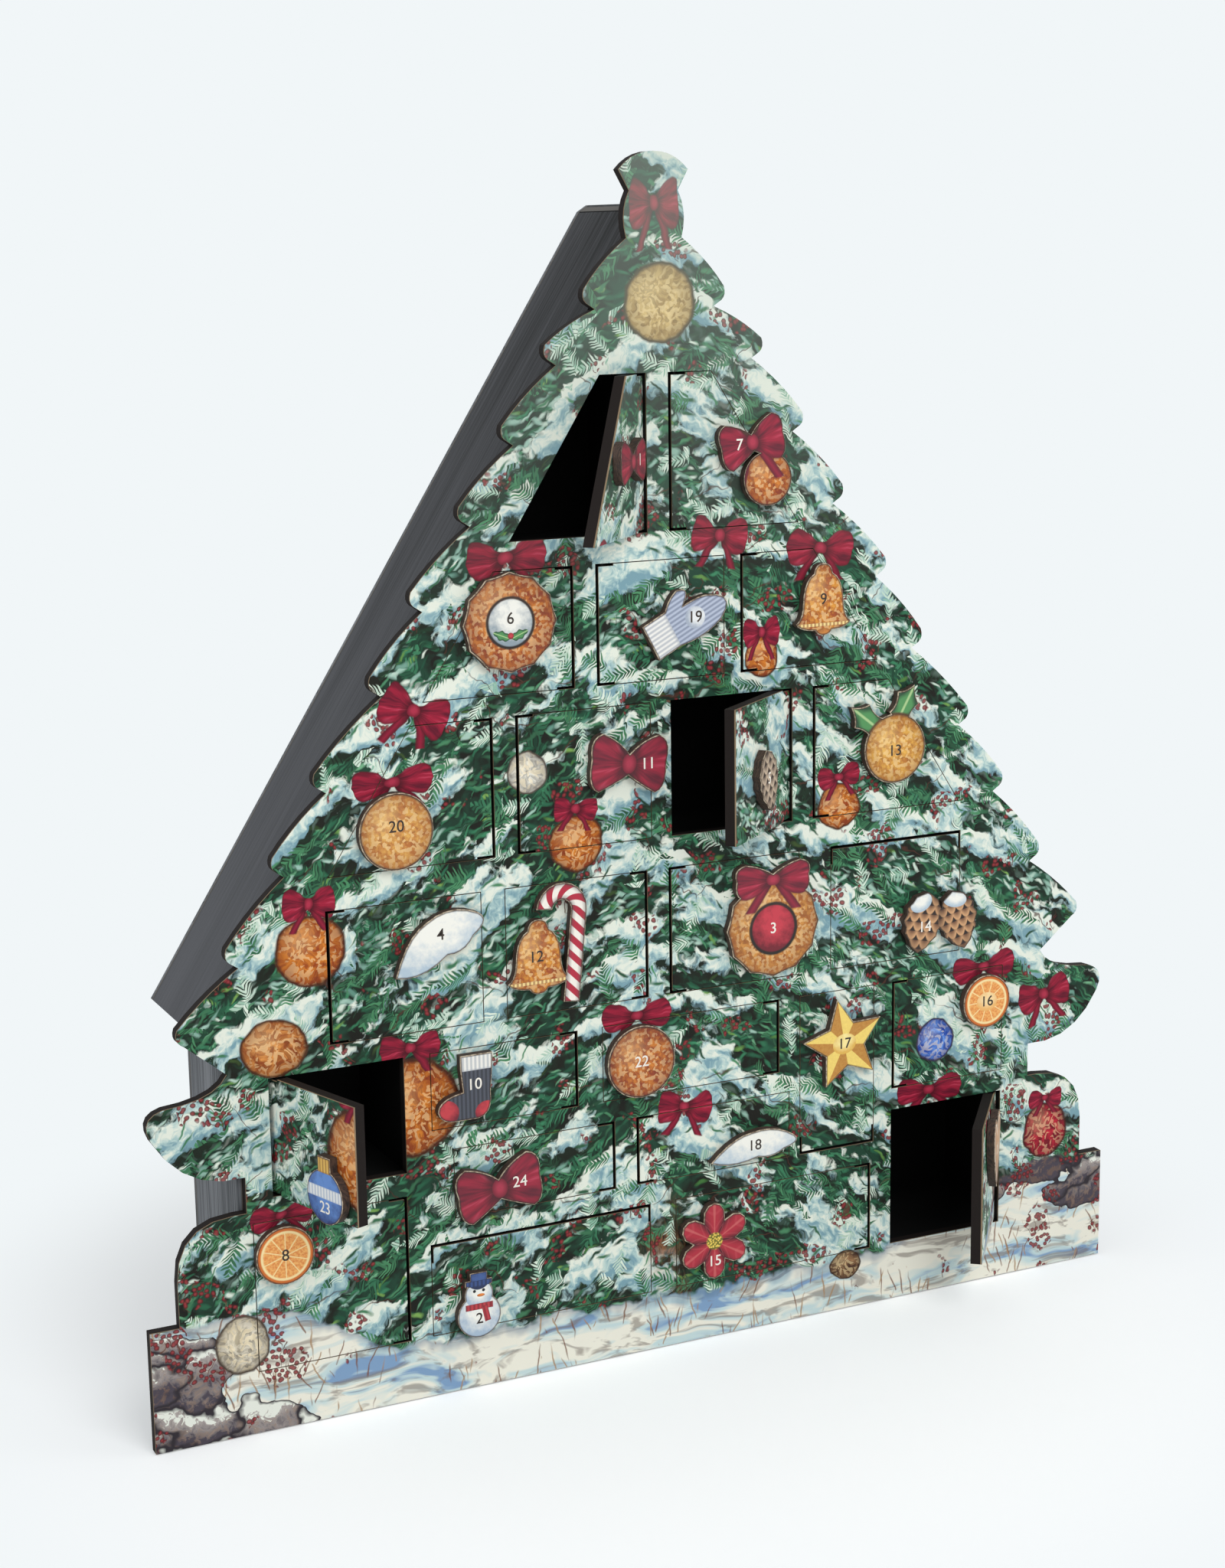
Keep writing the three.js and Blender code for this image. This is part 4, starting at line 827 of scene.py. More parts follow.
# %% Stones lie at both ends: low down on the left, and higher up on the right
left_end, right_end, right_base = -148, 150, 40
middle = add(picture, "SeparateXYZ", stone.outputs["Position"])
left_side = add(picture, "Math", middle.outputs[0], left_end / stone_width, operation="LESS_THAN")
left_heap = add(picture, "Math", middle.outputs[0], 0.69, middle.outputs[1], operation="MULTIPLY_ADD")
left_top = add(picture, "Math", left_heap, -2.64, operation="LESS_THAN")
left_stones = add(picture, "Math", left_side, left_top, operation="MULTIPLY")
right_side = add(picture, "Math", middle.outputs[0], right_end / stone_width, operation="GREATER_THAN")
right_foot = add(picture, "Math", middle.outputs[1], right_base / stone_height, operation="GREATER_THAN")
right_stones = add(picture, "Math", right_side, right_foot, operation="MULTIPLY")
rocky = add(picture, "Math", left_stones, right_stones, operation="MAXIMUM")
field = add(picture, "Mix", rocky, field, stones)
paint = add(picture, "Mix", ground, paint, field)
print("ground laid:", len(picture.nodes), "nodes")

# %% [markdown]
# ## Berries, balls and bows
# Small red berries hang in clusters on their stems. Each is the middle of a Voronoi cell, and a broad noise
# says where a cluster grows. The painted balls and bows hang between the ornaments of the doors. Each could
# have a group node of its own, but thirty groups are slow and need a lot of room, so all balls share one and
# all bows another: each spot near a motif is measured from that motif's own centre.

# %% Berries, in small clusters on the boughs and more of them at both ends of the ground
place = after(picture, paint, place)
drawn_place = after(picture, paint, drawn_place)
cluster = add(picture, "TexNoise", place, 0.055, 1.0, 0.5, noise_dimensions="2D").outputs["Fac"]
at_ends = add(picture, "MapRange", sideways, 135, 165, 0, 0.1)
low = add(picture, "MapRange", shaken.outputs[1], 50, 70, 1, 0)
off_foot = add(picture, "MapRange", shaken.outputs[1], 18, 34, 0.3, 1)
low = add(picture, "Math", low, off_foot, operation="MULTIPLY")
at_ends = add(picture, "Math", at_ends, low, cluster, operation="MULTIPLY_ADD")
on_ground = add(picture, "MapRange", sideways, 125, 145, 0.16, 0)
on_ground = add(picture, "Math", on_ground, ground, operation="MULTIPLY")
at_ends = add(picture, "Math", at_ends, on_ground, operation="SUBTRACT")
thick = add(picture, "MapRange", at_ends, 0.645, 0.665, 0, 0.92)
stem, chance = dabs(picture, place, (5, 7), (0.9, 8), 12.9, 1.8)
stem = add(picture, "Math", stem, thick, operation="MULTIPLY")
paint = add(picture, "Mix", stem, paint, ink("#5E3A2E"))
berry = add(picture, "TexVoronoi", drawn_place, 0.38, voronoi_dimensions="2D")
dots = add(picture, "MapRange", berry.outputs["Distance"], 0.34, 0.42, 1, 0)
berries = add(picture, "Math", dots, thick, operation="MULTIPLY")
glint = add(picture, "MapRange", berry.outputs["Distance"], 0.1, 0.35, 1, 0)
berry_tone = add(picture, "Mix", glint, ink("#4C181C"), ink("#943438"))
paint = add(picture, "Mix", berries, paint, berry_tone)
print("with berries:", len(picture.nodes), "nodes")

# %% Where the painted balls and bows hang
# Each has its centre across and up, its turn in degrees, its width and height in millimetres and, where it
# isn't golden brown or red, its own light and dark colour.
balls = (
    (2, 437, 0, 31, 31, "#E0C07C", "#A8854A"), (47, 293, 0, 15, 17), (84, 226, 0, 20, 20),
    (-38, 224, 0, 23, 23), (-152, 194, 0, 28, 28), (-112, 124, 0, 40, 40),
    (-168, 157, 0, 27, 23, "#E0954C", "#944A22"), (133, 116, 0, 19, 19, "#6C9AE6", "#1C44A4"),
    (192, 65, 0, 23, 25, "#C8283C", "#6E0C20"), (-59, 255, 0, 17, 17, "#E9E6DA", "#A39F95"),
    (-186, 38, 0, 22, 24, "#E6DECB", "#98907F"), (88, 20, 0, 15, 13, "#A27A54", "#4A3226"),
)
bows = (
    (0, 475, 0, 22, 20), (47, 303, 0, 17, 13), (-66, 341, 4, 34, 15), (75, 336, -4, 32, 15),
    (28, 344, -8, 26, 15), (-106, 284, -24, 30, 17), (-116, 257, 3, 34, 12), (-152, 213, 0, 22, 13),
    (84, 239, 6, 20, 10), (-12, 148, 0, 32, 12), (-38, 238, -6, 20, 10), (158, 146, 4, 32, 12),
    (190, 129, 10, 28, 15), (10, 105, -8, 26, 14), (-168, 89, 5, 26, 10), (130, 94, 0, 34, 12),
    (192, 80, 0, 18, 9), (-112, 149, 0, 26, 12),
)
print("painted:", len(balls), "balls and", len(bows), "bows")

# %% All balls in one group, then all bows in another
golden_brown = ("#DA842E", "#96401A")
nowhere = (9, 9, 0)
for brush, spots, tones in ((ball_brush, balls, golden_brown), (bow_brush, bows, ())):
    local = nowhere
    drawn_place = after(picture, paint, drawn_place)
    paints = [ink(tone) for tone in tones]
    for x, z, turn, wide, tall, *own in spots:
        slant = math.radians(turn)
        across_axis = Vector((math.cos(slant), math.sin(slant), 0)) * 2 / wide
        up_axis = Vector((-math.sin(slant), math.cos(slant), 0)) * 2 / tall
        offset = add(picture, "VectorMath", drawn_place, (x, z, 0), operation="SUBTRACT")
        side = add(picture, "VectorMath", offset, across_axis, operation="DOT_PRODUCT")
        rise = add(picture, "VectorMath", offset, up_axis, operation="DOT_PRODUCT")
        here = add(picture, "CombineXYZ", side, rise, 0.0)
        away = add(picture, "VectorMath", here, operation="LENGTH")
        close = add(picture, "Math", away, 2.0, operation="LESS_THAN")
        local = add(picture, "Mix", close, local, here, data_type="VECTOR")
        if own:
            paints = [add(picture, "Mix", close, usual, ink(tone))
                      for usual, tone in zip(paints, own)]
    motif = add(picture, "Group", local, place, *paints, node_tree=brush)
    paint = add(picture, "Mix", motif.outputs["Mask"], paint, motif.outputs["Color"])
print("with balls and bows:", len(picture.nodes), "nodes")

# %% The print is paler towards the top, mixed with a grey green
fades_from, fades_to, most_faded = 320, 500, 0.38
faded = add(picture, "MapRange", height, fades_from, fades_to, 0, most_faded)
paint = add(picture, "Mix", faded, paint, ink("#97A69B"))
picture.links.new(next(o for o in paint.outputs if o.enabled), exit_node.inputs["Color"])
print("picture:", len(picture.nodes), "nodes")

# %% [markdown]
# ## Printed boards
# The board is thin plywood with a printed paper glued on its face, under a lacquer that gives it a weak,
# soft shine. The laser leaves its cut edges nearly black, with a thin tan line where the paper ends, and the
# back is painted matt black like the cells. Each surface could have a material of its own, but the depth of
# a point says whether it lies on the face, on the line or behind it, so one material does for all.
# An open door carries its part of the picture with it, so its material first turns each point back to
# where it lies when the door is shut.

# %% Printed plywood
front_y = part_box("front_board")[0].y
print_depth, edge_line = 0.00005, 0.0006


def printed_board(name, joint=None):
    """Printed plywood. For an open door, joint is the hinge that turns it shut."""
    material, tree = new_material(name)
    spot = add(tree, "TexCoord").outputs["Object"]
    if joint:
        opened = -math.radians(joint["range_deg"][0])
        pivot = Vector(joint["pos_m"])
        closing = Matrix.Rotation(-opened, 3, Vector(joint["axis"]))
        spot = add(tree, "Mapping", spot, pivot - closing @ pivot, closing.to_euler())
    group = add(tree, "Group", spot, node_tree=picture)
    depth = add(tree, "SeparateXYZ", spot).outputs[1]
    paper_back = front_y + print_depth
    printed = add(tree, "MapRange", depth, paper_back - 0.00001, paper_back + 0.00001, 1, 0)
    burnt = add(tree, "MapRange", depth, front_y + edge_line, front_y + edge_line * 1.4, 0, 1)
    edge = add(tree, "Mix", burnt, ink("#8D7A62"), ink("#1C1614"))
    colour = add(tree, "Mix", printed, edge, group.outputs["Color"])
    rough = add(tree, "MapRange", printed, 0, 1, 0.8, 0.5)
    surface = add(tree, "BsdfPrincipled", colour, 0.0, rough, named={"Specular IOR Level": 0.2})
    add(tree, "OutputMaterial", surface)
    return material


print("face of the board at", round(front_y * 1000, 1), "mm")


# %% The tree board and the shut doors share one material, and each open door has its own
def finish_node(name, material):
    """Gives a piece of the frame its only material."""
    data = nodes[name].data
    data.materials.clear()
    data.materials.append(material)


tree_print = printed_board("printed_fir_board")
finish_node("front_board", tree_print)
for joint in frame["joints"]:
    label = joint["child"][-2:]
    opened = joint["range_deg"][0] != 0
    material = printed_board("printed_door_" + label, joint) if opened else tree_print
    finish_node("door_" + label, material)

# %% [markdown]
# ## Stained boards
# The box is of thin wooden boards with a charcoal stain and no varnish, so it is dull. The stain lets a fine
# straight grain show along each board. Its fibres are about a millimetre wide and 70 mm long, in bands of
# 17 mm, so they are two noises stretched along the board: a photograph of wood would do, but it would repeat
# and has to be laid out on every board. The stain runs over the outer third of a board's edges, and the rest
# of an edge is bare grey wood. The inner face is black like the cells.


# %% Charcoal-stained wood
fibres, fibre_bands = (14, 900, 900), (5, 60, 60)  # how many to a metre: along the board, and across it
stain_full, stain_end = 0.0014, 0.0017             # how far the stain runs over an edge, in metres
paint_full, paint_end = 0.0002, 0.0004             # and the black paint, from the inner face


def stained_board(name, outward, grain_turn, dark, light, pale_painted_light=None):
    """outward is the outer face's direction. The last colour is what the stain turns to lower down: painted
    light, the lower board painted lighter as if more light fell there.
    """
    depths = [v.co.dot(Vector(outward)) for v in nodes[name].data.vertices]
    reach, inside = max(depths), min(depths)
    material, tree = new_material("stained_" + name)
    spot = add(tree, "TexCoord").outputs["Object"]
    along = add(tree, "Mapping", spot, (0, 0, 0), grain_turn, (1, 1, 1))
    drawn = add(tree, "VectorMath", along, fibres, operation="MULTIPLY")
    fibre = add(tree, "TexNoise", drawn, 1.0, 3.0, 0.6).outputs["Fac"]
    wide = add(tree, "VectorMath", along, fibre_bands, operation="MULTIPLY")
    band = add(tree, "TexNoise", wide, 1.0, 2.0, 0.5).outputs["Fac"]
    grain = add(tree, "Math", band, 0.6, fibre, operation="MULTIPLY_ADD")
    tint = add(tree, "MapRange", grain, 0.66, 0.94, 0, 1)
    stain = add(tree, "Mix", tint, ink(dark), ink(light))
    # Painted light: lower down, the stain is mixed towards a lighter colour, as if more light fell there.
    if pale_painted_light:
        height = add(tree, "SeparateXYZ", spot).outputs[2]
        fading = add(tree, "MapRange", height, 0.5, 0.18, 0, 0.8)
        grain_in_painted_light = add(tree, "Math", grain, 0.5, -0.42, operation="MULTIPLY_ADD")
        fading = add(tree, "Math", fading, grain_in_painted_light, operation="ADD")
        stain = add(tree, "Mix", fading, stain, ink(pale_painted_light))
    distance = add(tree, "VectorMath", spot, outward, operation="DOT_PRODUCT").outputs["Value"]
    outer = add(tree, "MapRange", distance, reach - stain_end, reach - stain_full, 0, 1)
    inner = add(tree, "MapRange", distance, inside + paint_full, inside + paint_end, 1, 0)
    edge = add(tree, "Mix", inner, ink("#65625E"), ink("#070707"))
    colour = add(tree, "Mix", outer, edge, stain)
    relief = add(tree, "Bump", 0.25, 0.0002, named={"Height": fibre})
    dull = {"Normal": relief, "Specular IOR Level": 0.2}
    surface = add(tree, "BsdfPrincipled", colour, 0.0, 0.7, named=dull)
    add(tree, "OutputMaterial", surface)
    return material


print("fibres", round(1000 / fibres[1], 1), "mm wide and", round(1000 / fibres[0]), "mm long")

# %% The two roof boards: their grain follows the slope, and lower down they are painted lighter, as painted light
roof_left = nodes["left_roof_board"].data
corner = max((v.co for v in roof_left.vertices), key=lambda co: co.z)
eave = min((v.co for v in roof_left.vertices), key=lambda co: co.x)
slope = Vector((corner.x - eave.x, 0, corner.z - eave.z)).normalized()
roof_angle = math.atan2(slope.z, slope.x)
print("roof angle", round(math.degrees(roof_angle), 1), "degrees")
for name, direction in (("left_roof_board", -1), ("right_roof_board", 1)):
    outward = Vector((direction * math.sin(roof_angle), 0, math.cos(roof_angle)))
    turn = (0, direction * -roof_angle, 0)
    # 5E6065 is painted light, the lighter colour of the lower part of each roof board.
    finish_node(name, stained_board(name, outward, turn, "#1E1F20", "#3D3E41", "#5E6065"))

# %% The upright boards, the eaves and the bottom
upright_grain = (0, math.radians(90), 0)
level_grain = (0, 0, 0)
boards = (
    ("left_side_board", (-1, 0, 0), upright_grain), ("right_side_board", (1, 0, 0), upright_grain),
    ("left_eave_board", (0, 0, -1), level_grain), ("right_eave_board", (0, 0, -1), level_grain),
    ("bottom_board", (0, 0, -1), level_grain), ("back_board", (0, 1, 0), upright_grain),
)
for name, outward, turn in boards:
    finish_node(name, stained_board(name, outward, turn, "#4C5054", "#83878C"))
print("stained boards:", len(boards) + 2)

# %% [markdown]
# ## Black cells
# The shelves and partitions are sprayed with matt black paint, so an open door shows a dark cell. Such paint
# is never one flat black: a fine speck of about a millimetre keeps it from looking like a hole.

# %% Matt black paint
black, tree = new_material("matt_black_paint")
spot = add(tree, "TexCoord").outputs["Object"]
speck = add(tree, "TexNoise", spot, 900.0, 2.0, 0.5).outputs["Fac"]
colour = add(tree, "Mix", speck, ink("#040404"), ink("#0C0C0C"))
surface = add(tree, "BsdfPrincipled", colour, 0.0, 0.9, named={"Specular IOR Level": 0.2})
add(tree, "OutputMaterial", surface)
dividers = ("upper_divider", "middle_divider", "lower_divider")
for name in dividers:
    finish_node(name, black)
print("black dividers:", len(dividers))

# %% [markdown]
# ## Cut-out ornaments
# Each ornament is a printed shape sawn out of 3.5 mm board and glued on its door, where it is also the knob.
# The frame has their shapes, but with sharp edges. A copy of each is turned shut with its door, its loose
# triangles are merged to flat faces, its outline is softened with a bevel, and a narrow ring is inset in
# the face, so that the print can darken towards the sawn edge. Its UV map is in centimetres on the face,
# so the print stays put when the door turns. Then it is turned back and stands in for the frame's solid.
# The laser's cut is dark brown and dull. Its rounded rim is pale, which gives each ornament a thin light line:
# the print's pale margin, and a painted highlight where the rim catches the light.

# %% Turning a door shut
hinges = {joint["child"][-2:]: joint for joint in frame["joints"]}


def shut(label):
    """The turn that takes a door from where it rests to where it lies shut, about its own pivot."""
    joint = hinges[label]
    pivot = Matrix.Translation(Vector(joint["pos_m"]))
    turn = Matrix.Rotation(math.radians(joint["range_deg"][0]), 4, Vector(joint["axis"]))
    return pivot @ turn @ pivot.inverted()


print("doors:", len(hinges))

# %% Plywood edge, cut by a laser: charred in thin layers
sawn, tree = new_material("laser_sawn_edge")
spot = add(tree, "TexCoord").outputs["Object"]
stretched = add(tree, "VectorMath", spot, (400, 2200, 400), operation="MULTIPLY")
char = add(tree, "TexNoise", stretched, 1.0, 2.0, 0.6).outputs["Fac"]
colour = add(tree, "Mix", add(tree, "MapRange", char, 0.35, 0.65, 0, 1), ink("#1F1512"), ink("#4B382C"))
surface = add(tree, "BsdfPrincipled", colour, 0.0, 0.75)
add(tree, "OutputMaterial", surface)
print("sawn edge:", len(tree.nodes), "nodes")

# %% The pale rim: the print's margin, and a painted highlight where the rim catches the light
pale_painted_light, tree = new_material("pale_rim_and_highlight")
spot = add(tree, "TexCoord").outputs["Object"]
rim_mottle = add(tree, "TexNoise", spot, 500.0, 3.0, 0.6).outputs["Fac"]
rim_mottle = add(tree, "MapRange", rim_mottle, 0.4, 0.6, 0, 1)
# The pale tone is the print's margin and a painted highlight where the rim catches the light.
colour = add(tree, "Mix", rim_mottle, ink("#6E5A48"), ink("#C6B79E"))
surface = add(tree, "BsdfPrincipled", colour, 0.0, 0.6)
add(tree, "OutputMaterial", surface)
print("worn rim:", len(tree.nodes), "nodes")

# %% What is painted on ornaments 1 to 12, from the lowest layer to the highest
# A layer is a brush, its centre, its turn in degrees, its width and height in millimetres, and its light and
# dark colour. The first one fills the whole face.
snow_white, snow_shade = "#F4F4EC", "#B2C6D4"
gold_light, gold_dark = "#DE9836", "#A04A18"
rust_light, rust_dark = "#D27F2C", "#8E3816"
layers = {
    "01": [(bow_brush, (0, 0), 0, (30, 17))],
    "02": [
        (round_brush, (0, -4), 0, (30, 26), snow_white, "#8CA6C2"),
        (round_brush, (0, -4.5), 0, (18, 18), snow_white, "#A7BCD0"),
        (round_brush, (0, 4.6), 0, (12, 12), snow_white, "#A7BCD0"),
        (band_brush, (0, -0.6), 0, (12, 2.6), "#C23A44", "#701824"),
        (band_brush, (3, -4), 12, (2.6, 7), "#C23A44", "#701824"),
        (round_brush, (0, 11.2), 0, (10, 9), "#3F5C96", "#1C2A50"),
        (band_brush, (0, 9.4), 0, (13, 2.4), "#35508A", "#16213F"),
        (round_brush, (-2, 6.2), 0, (1.3, 1.3), "#1A1A1E", "#101014"),
        (round_brush, (2, 6.2), 0, (1.3, 1.3), "#1A1A1E", "#101014"),
        (round_brush, (0.8, 4.2), 0, (3.4, 1.3), "#E8893A", "#A5501C"),
    ],
    "03": [
        (ball_brush, (0, 0), 0, (44, 44), "#DE9C48", "#A65E26"),
        (round_brush, (0, -1), 0, (23, 23), "#33211A", "#1B110D"),
        (round_brush, (0, -1), 0, (20, 20), "#C63848", "#6E1324"),
        (bow_brush, (0, 20), 0, (36, 15)),
    ],
    "04": [(round_brush, (0, 3), 0, (52, 30), snow_white, snow_shade)],
    "05": [(cone_brush, (0, 0), 0, (22, 28), "#C9B49C", "#4A3A34")],
    "06": [
        (ball_brush, (0, 0), 0, (40, 40), rust_light, rust_dark),
        (round_brush, (0, 0), 0, (21, 21), "#3A261C", "#20150F"),
        (round_brush, (0, 0), 0, (18.5, 18.5), "#F0F0E8", "#8C9CA6"),
        (leaf_brush, (-3.6, -5), 68, (4.4, 8)),
        (leaf_brush, (3.6, -5), -68, (4.4, 8)),
        (round_brush, (0, -5.2), 0, (2.6, 2.6), "#C23B42", "#6E1522"),
    ],
    "07": [(ball_brush, (5, -7), 0, (22, 22), rust_light, rust_dark), (bow_brush, (-2, 8), 12, (30, 19))],
    "08": [(slice_brush, (0, 0), 0, (24, 24))],
    "09": [
        (ball_brush, (0, -1), 0, (29, 34), gold_light, gold_dark),
        (band_brush, (0, -10.4), 0, (30, 1.4), "#F8DE96", "#8A431C"),
        (round_brush, (0, -14.4), 0, (8, 5), "#C88038", "#5A2A12"),
    ],
    "10": [
        (band_brush, (0, 0), 0, (36, 34), "#4E535F", "#1D1F27"),
        (round_brush, (-9.5, -9.5), 0, (12, 11), "#C63A44", "#74162A"),
        (round_brush, (8.5, -11), 0, (10, 9), "#C63A44", "#74162A"),
        (band_brush, (4.5, 10.5), 0, (17, 7), "#F4F2EA", "#A9B0B8"),
    ],
    "11": [(bow_brush, (0, 0), 0, (35, 24))],
    "12": [
        (ball_brush, (-5, -4), 0, (30, 35), gold_light, gold_dark),
        (band_brush, (-5, -13.6), 0, (32, 1.4), "#F8DE96", "#8A431C"),
        (cane_brush, (4, 0), -6, (2, 2)),
    ],
}
print("painted layers:", sum(len(stack) for stack in layers.values()))

# %% What is painted on ornaments 13 to 24, of which 21 has a line of icing
layers |= {
    "13": [
        (round_brush, (0, 6), 0, (50, 40), "#2F6440", "#1A3B27"),
        (leaf_brush, (-12, 12), 52, (13, 25)),
        (leaf_brush, (4, 17), -30, (13, 23)),
        (ball_brush, (0, 0), 0, (30, 30), "#E6B04C", "#B8742A"),
    ],
    "14": [
        (cone_brush, (-9, 0), -12, (22, 28), "#CF9F72", "#5B3523"),
        (cone_brush, (9, -1), 14, (20, 27), "#CF9F72", "#5B3523"),
        (round_brush, (-10, 9), 20, (11, 8), snow_white, snow_shade),
        (round_brush, (7, 8.5), -10, (12, 7), snow_white, snow_shade),
    ],
    "15": [(petal_brush, (0, 0), 0, (34, 34))],
    "16": [
        (slice_brush, (0, 0), 20, (24, 24)),
        (round_brush, (0, 0), 0, (10.5, 8.5), "#F8D9A0", "#EDB568"),
    ],
    "17": [
        (star_brush, (0, 0), 0, (41, 41)),
        (round_brush, (0, 0), 0, (11.5, 9), "#F9E69A", "#E2B452"),
    ],
    "18": [(round_brush, (0, 2), 0, (50, 22), snow_white, snow_shade)],
    "19": [
        (band_brush, (0, 0), 0, (40, 60), "#B9C3D6", "#6A7590"),
        (round_brush, (1.5, 3), 0, (9, 9), "#E8EBEC", "#A5B0C0"),
        (band_brush, (0.5, -13.6), 0, (18, 11.5), "#F2F1EC", "#A3A9B4"),
    ],
    "20": [(ball_brush, (0, 0), 0, (31, 31), "#E0AA54", "#B66C2E")],
    "21": [(round_brush, (0, 1), 0, (40, 42), "#CFA47C", "#8A5C3C")],
    "22": [(ball_brush, (0, 0), 0, (31, 31), rust_light, rust_dark)],
    "23": [
        (round_brush, (0, 0), 0, (26, 26), "#5E8BD0", "#1F3472"),
        (band_brush, (0, 1.5), 0, (24, 4.6), "#F0F1EE", "#9FB0CC"),
        (band_brush, (0, 12.6), 0, (8, 6), "#E7BC5A", "#8A5A1E"),
    ],
    "24": [(bow_brush, (0, 0), 0, (38, 24))],
}
iced = ("21",)
print("painted layers:", sum(len(stack) for stack in layers.values()))


# %% Printed wood: the layers over each other, dark towards the sawn edge, under a lacquer with a soft shine
def printed_ornament(label):
    """The print of one ornament. inner is 0 at its rim, 1 on its face and 2 inside a line of icing."""
    material, tree = new_material("printed_ornament_" + label)
    face = add(tree, "UVMap", uv_map="print")
    spot = add(tree, "VectorMath", face, (10, 10, 0), operation="MULTIPLY")
    colour = None
    for brush, (x, y), turn, (wide, tall), *tones in layers[label]:
        whirl = (0, 0, math.radians(turn))
        local = add(tree, "Mapping", spot, (x, y, 0), whirl, (wide / 2, tall / 2, 1), vector_type="TEXTURE")
        grain = add(tree, "Mapping", spot, (x, y, 0), whirl, (1, 1, 1), vector_type="TEXTURE")
        paint = add(tree, "Group", local, grain, *[ink(tone) for tone in tones], node_tree=brush)
        if colour:
            colour = add(tree, "Mix", paint.outputs["Mask"], colour, paint.outputs["Color"])
        else:
            colour = paint.outputs["Color"]
    inner = add(tree, "Attribute", attribute_name="inner").outputs["Fac"]
    line = add(tree, "MapRange", inner, 0.2, 1.0, 0.85, 0)
    colour = add(tree, "Mix", line, colour, ink("#2A1B17"))
    if label in iced:
        from_line = add(tree, "Math", inner, 1.5, operation="SUBTRACT")
        from_line = add(tree, "Math", from_line, operation="ABSOLUTE")
        icing = add(tree, "MapRange", from_line, 0.14, 0.2, 1, 0)
        colour = add(tree, "Mix", icing, colour, ink("#F4EFE4"))
    wear = add(tree, "TexNoise", spot, 0.5, 3.0, 0.6, noise_dimensions="2D").outputs["Fac"]
    rough = add(tree, "MapRange", wear, 0, 1, 0.32, 0.5)
    surface = add(tree, "BsdfPrincipled", colour, 0.0, rough)
    add(tree, "OutputMaterial", surface)
    return material


print("prints to make:", len(layers))

# %% Where each ornament's centre lies with its door shut, in millimetres across and up, and its turn
centres = {
    "01": (-28.3, 377, 0), "02": (-87, 37, 0), "03": (50.3, 179, 0), "04": (-100.4, 192, 20),
    "05": (30.7, 245, 14), "06": (-66.3, 316, 0), "07": (43.3, 373, 0), "08": (-168.3, 73.5, 0),
    "09": (74.3, 315, 0), "10": (-90, 130, 0), "11": (-15.7, 255, -6), "12": (-52.3, 183, 0),
    "13": (109.3, 249, 0), "14": (133, 171, 0), "15": (21.5, 44.5, 0), "16": (157.4, 131, 0),
    "17": (85, 122.4, 10), "18": (41.1, 83.4, 0), "19": (11.3, 312, -62), "20": (-116.3, 238, 0),
    "21": (134.7, 69.5, 0), "22": (-11.8, 129, 0), "23": (-130.2, 107, 0), "24": (-76.6, 85.4, 8),
}
print("centres:", len(centres))

# %% An ornament's mesh: its rim rounded, a ring inset in its face, and the map for its print
rounding, rim, icing_inset = 0.00035, 0.0007, 0.0028


def ornament_mesh(label):
    """The mesh of one ornament, in its place on its door. Its faces take material 0 for the print, 1 for the
    sawn edge and 2 for the pale rim, with its painted highlight."""
    x, z, turn = centres[label]
    bm = bmesh.new()
    bm.from_mesh(nodes["ornament_" + label].data)
    bmesh.ops.remove_doubles(bm, verts=bm.verts, dist=1e-6)
    bm.transform(shut(label))
    bmesh.ops.dissolve_limit(bm, angle_limit=math.radians(1), verts=bm.verts, edges=bm.edges)
    outline = [edge for edge in bm.edges if edge.calc_face_angle(0) > 1.2 and
               any(face.normal.y < -0.9 for face in edge.link_faces)]
    bmesh.ops.bevel(
        bm, geom=outline, offset=rounding, affect="EDGES", segments=2, profile=0.5, material=-1,
        clamp_overlap=True)
    face = [face for face in bm.faces if face.normal.y < -0.99]
    bmesh.ops.inset_region(bm, faces=face, thickness=rim, use_even_offset=False, use_boundary=True)
    inner = bm.verts.layers.float.new("inner")
    for vert in {vert for flat in face for vert in flat.verts}:
        vert[inner] = 1
    if label in iced:
        bmesh.ops.inset_region(
            bm, faces=face, thickness=icing_inset, use_even_offset=False, use_boundary=True)
        for vert in {vert for flat in face for vert in flat.verts}:
            vert[inner] = 2
    print_map = bm.loops.layers.uv.new("print")
    untwist = Matrix.Rotation(math.radians(-turn), 2)
    for flat in bm.faces:
        # Faces on the rounded rim take the pale rim: the print's margin, and a painted highlight.
        flat.material_index = 0 if flat.normal.y < -0.99 else 2 if flat.normal.y < -0.3 else 1
        for loop in flat.loops:
            away = Vector((loop.vert.co.x - x / 1000, loop.vert.co.z - z / 1000))
            loop[print_map].uv = untwist @ away * 100
    bm.transform(shut(label).inverted())
    mesh = bpy.data.meshes.new("ornament_print_" + label)
    bm.to_mesh(mesh)
    bm.free()
    return mesh


print("ornaments get a rim of", rim * 1000, "mm")


# %% Each printed ornament stands in for the frame's solid, and rides on its door
def stand_in(label):
    """Makes one printed ornament."""
    mesh = ornament_mesh(label)
    for material in (printed_ornament(label), sawn, pale_painted_light):
        mesh.materials.append(material)
    piece = bpy.data.objects.new("printed_ornament_" + label, mesh)
    bpy.context.collection.objects.link(piece)
    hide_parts("ornament_" + label)
    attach(piece, "leaf_" + label)


for label in sorted(layers):
    stand_in(label)
print("ornaments:", len(layers))

# %% [markdown]
# ## Numbers
# Every ornament bears its number, in white on a dark print and in near black on a pale one. It is screen ink,
# which shines a little and lets the wood through where it is thin. Numbers could be in the print, but Blender
# has no node for text, so each is a Text object of its own. It is made a mesh before it is placed, and is a
# tenth of a millimetre thick, half of it sunk in the face.

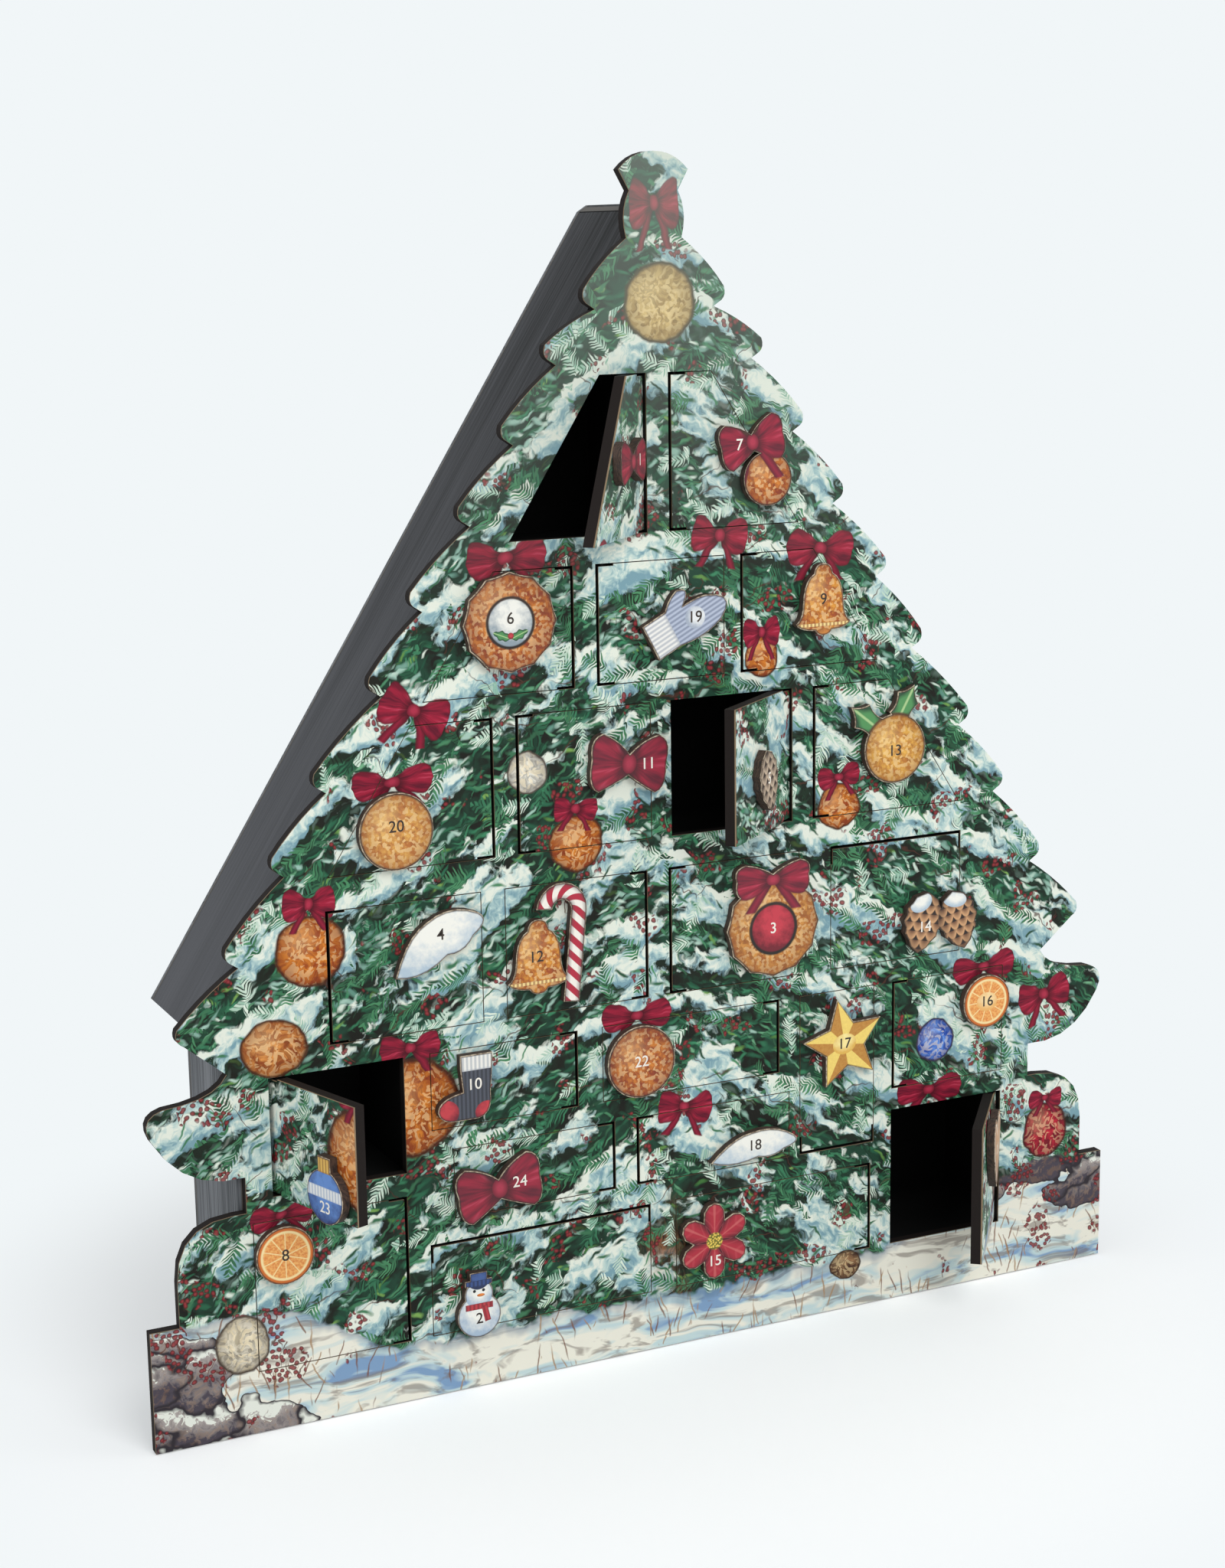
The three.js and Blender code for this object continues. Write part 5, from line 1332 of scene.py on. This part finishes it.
# %% Number inks
inks = {}
for tone, code in (("white", "#F6F2E8"), ("dark", "#1E1713")):
    material, tree = new_material(tone + "_number_ink")
    spot = add(tree, "TexCoord").outputs["Object"]
    speck = add(tree, "TexNoise", spot, 1500.0, 2.0, 0.5).outputs["Fac"]
    rough = add(tree, "MapRange", speck, 0, 1, 0.35, 0.6)
    thin = add(tree, "MapRange", speck, 0.3, 0.7, 0.12, 0)
    colour = add(tree, "Mix", thin, ink(code), ink("#8C6A50"))
    surface = add(tree, "BsdfPrincipled", colour, 0.0, rough)
    add(tree, "OutputMaterial", surface)
    inks[tone] = material
print("inks:", len(inks))

# %% Each number's place on its ornament, from the ornament's centre, and its ink
number_places = {
    "01": (7.5, 0, "white"), "02": (0, -6, "dark"), "03": (0, -1, "white"), "04": (2, 2, "dark"),
    "05": (0, 1, "white"), "06": (0, 1.6, "dark"), "07": (-8, 7, "white"), "08": (0, 0, "dark"),
    "09": (0, 0, "dark"), "10": (3.5, 1, "white"), "11": (8.5, 0, "white"), "12": (-6, -3, "dark"),
    "13": (0, -1, "dark"), "14": (-8, -2, "white"), "15": (0, -9, "white"), "16": (0, 0, "dark"),
    "17": (0, 0, "dark"), "18": (0, 0.5, "dark"), "19": (1.5, 3, "dark"), "20": (0, 2, "dark"),
    "21": (0, 1, "white"), "22": (0, 0, "white"), "23": (0, -4.5, "white"), "24": (9, 0, "white"),
}
print("numbers:", len(number_places))

# %% A number, on the face of an ornament of 3.5 mm board that is glued on by 0.3 mm
glue, ornament_board = 0.3, 3.5
face_y = front_y * 1000 - (glue + ornament_board)
digit_height, half_ink, bolder = 6.6, 0.05, 0.04


def number(label):
    """Makes the number of one ornament, from text in millimetres."""
    x, z, turn = centres[label]
    across, up, tone = number_places[label]
    text = bpy.data.curves.new("number_" + label, "FONT")
    text.body = str(int(label))
    text.align_x = "CENTER"
    text.align_y = "CENTER"
    text.size = digit_height
    text.extrude = half_ink
    text.resolution_u = 4
    text.offset = bolder
    holder = bpy.data.objects.new("number_" + label, text)
    mesh = bpy.data.meshes.new_from_object(holder)
    bpy.data.objects.remove(holder)
    turned = Matrix.Rotation(math.radians(turn), 4, "Z") @ Vector((across, up, 0))
    stood_up = Matrix.Rotation(math.radians(90), 4, "X")
    upright = Matrix.Translation((x + turned.x, face_y, z + turned.y)) @ stood_up
    mesh.transform(shut(label).inverted() @ Matrix.Scale(0.001, 4) @ upright)
    mesh.materials.clear()
    mesh.materials.append(inks[tone])
    piece = bpy.data.objects.new("number_" + label, mesh)
    bpy.context.collection.objects.link(piece)
    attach(piece, "leaf_" + label)


for label in sorted(number_places):
    number(label)
print("numbers set:", len(number_places))

# %% [markdown]
# ## Measured sizes
# The box around the frame was measured before anything was added. Here the box around the finished
# calendar is measured in the same way, and both are printed, to show that no finish changed its size.

# %% Sizes of the frame and of the finished calendar
size = {"frame": [list(corner) for corner in frame_box], "scene": [list(corner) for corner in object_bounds()]}
print("size", size)
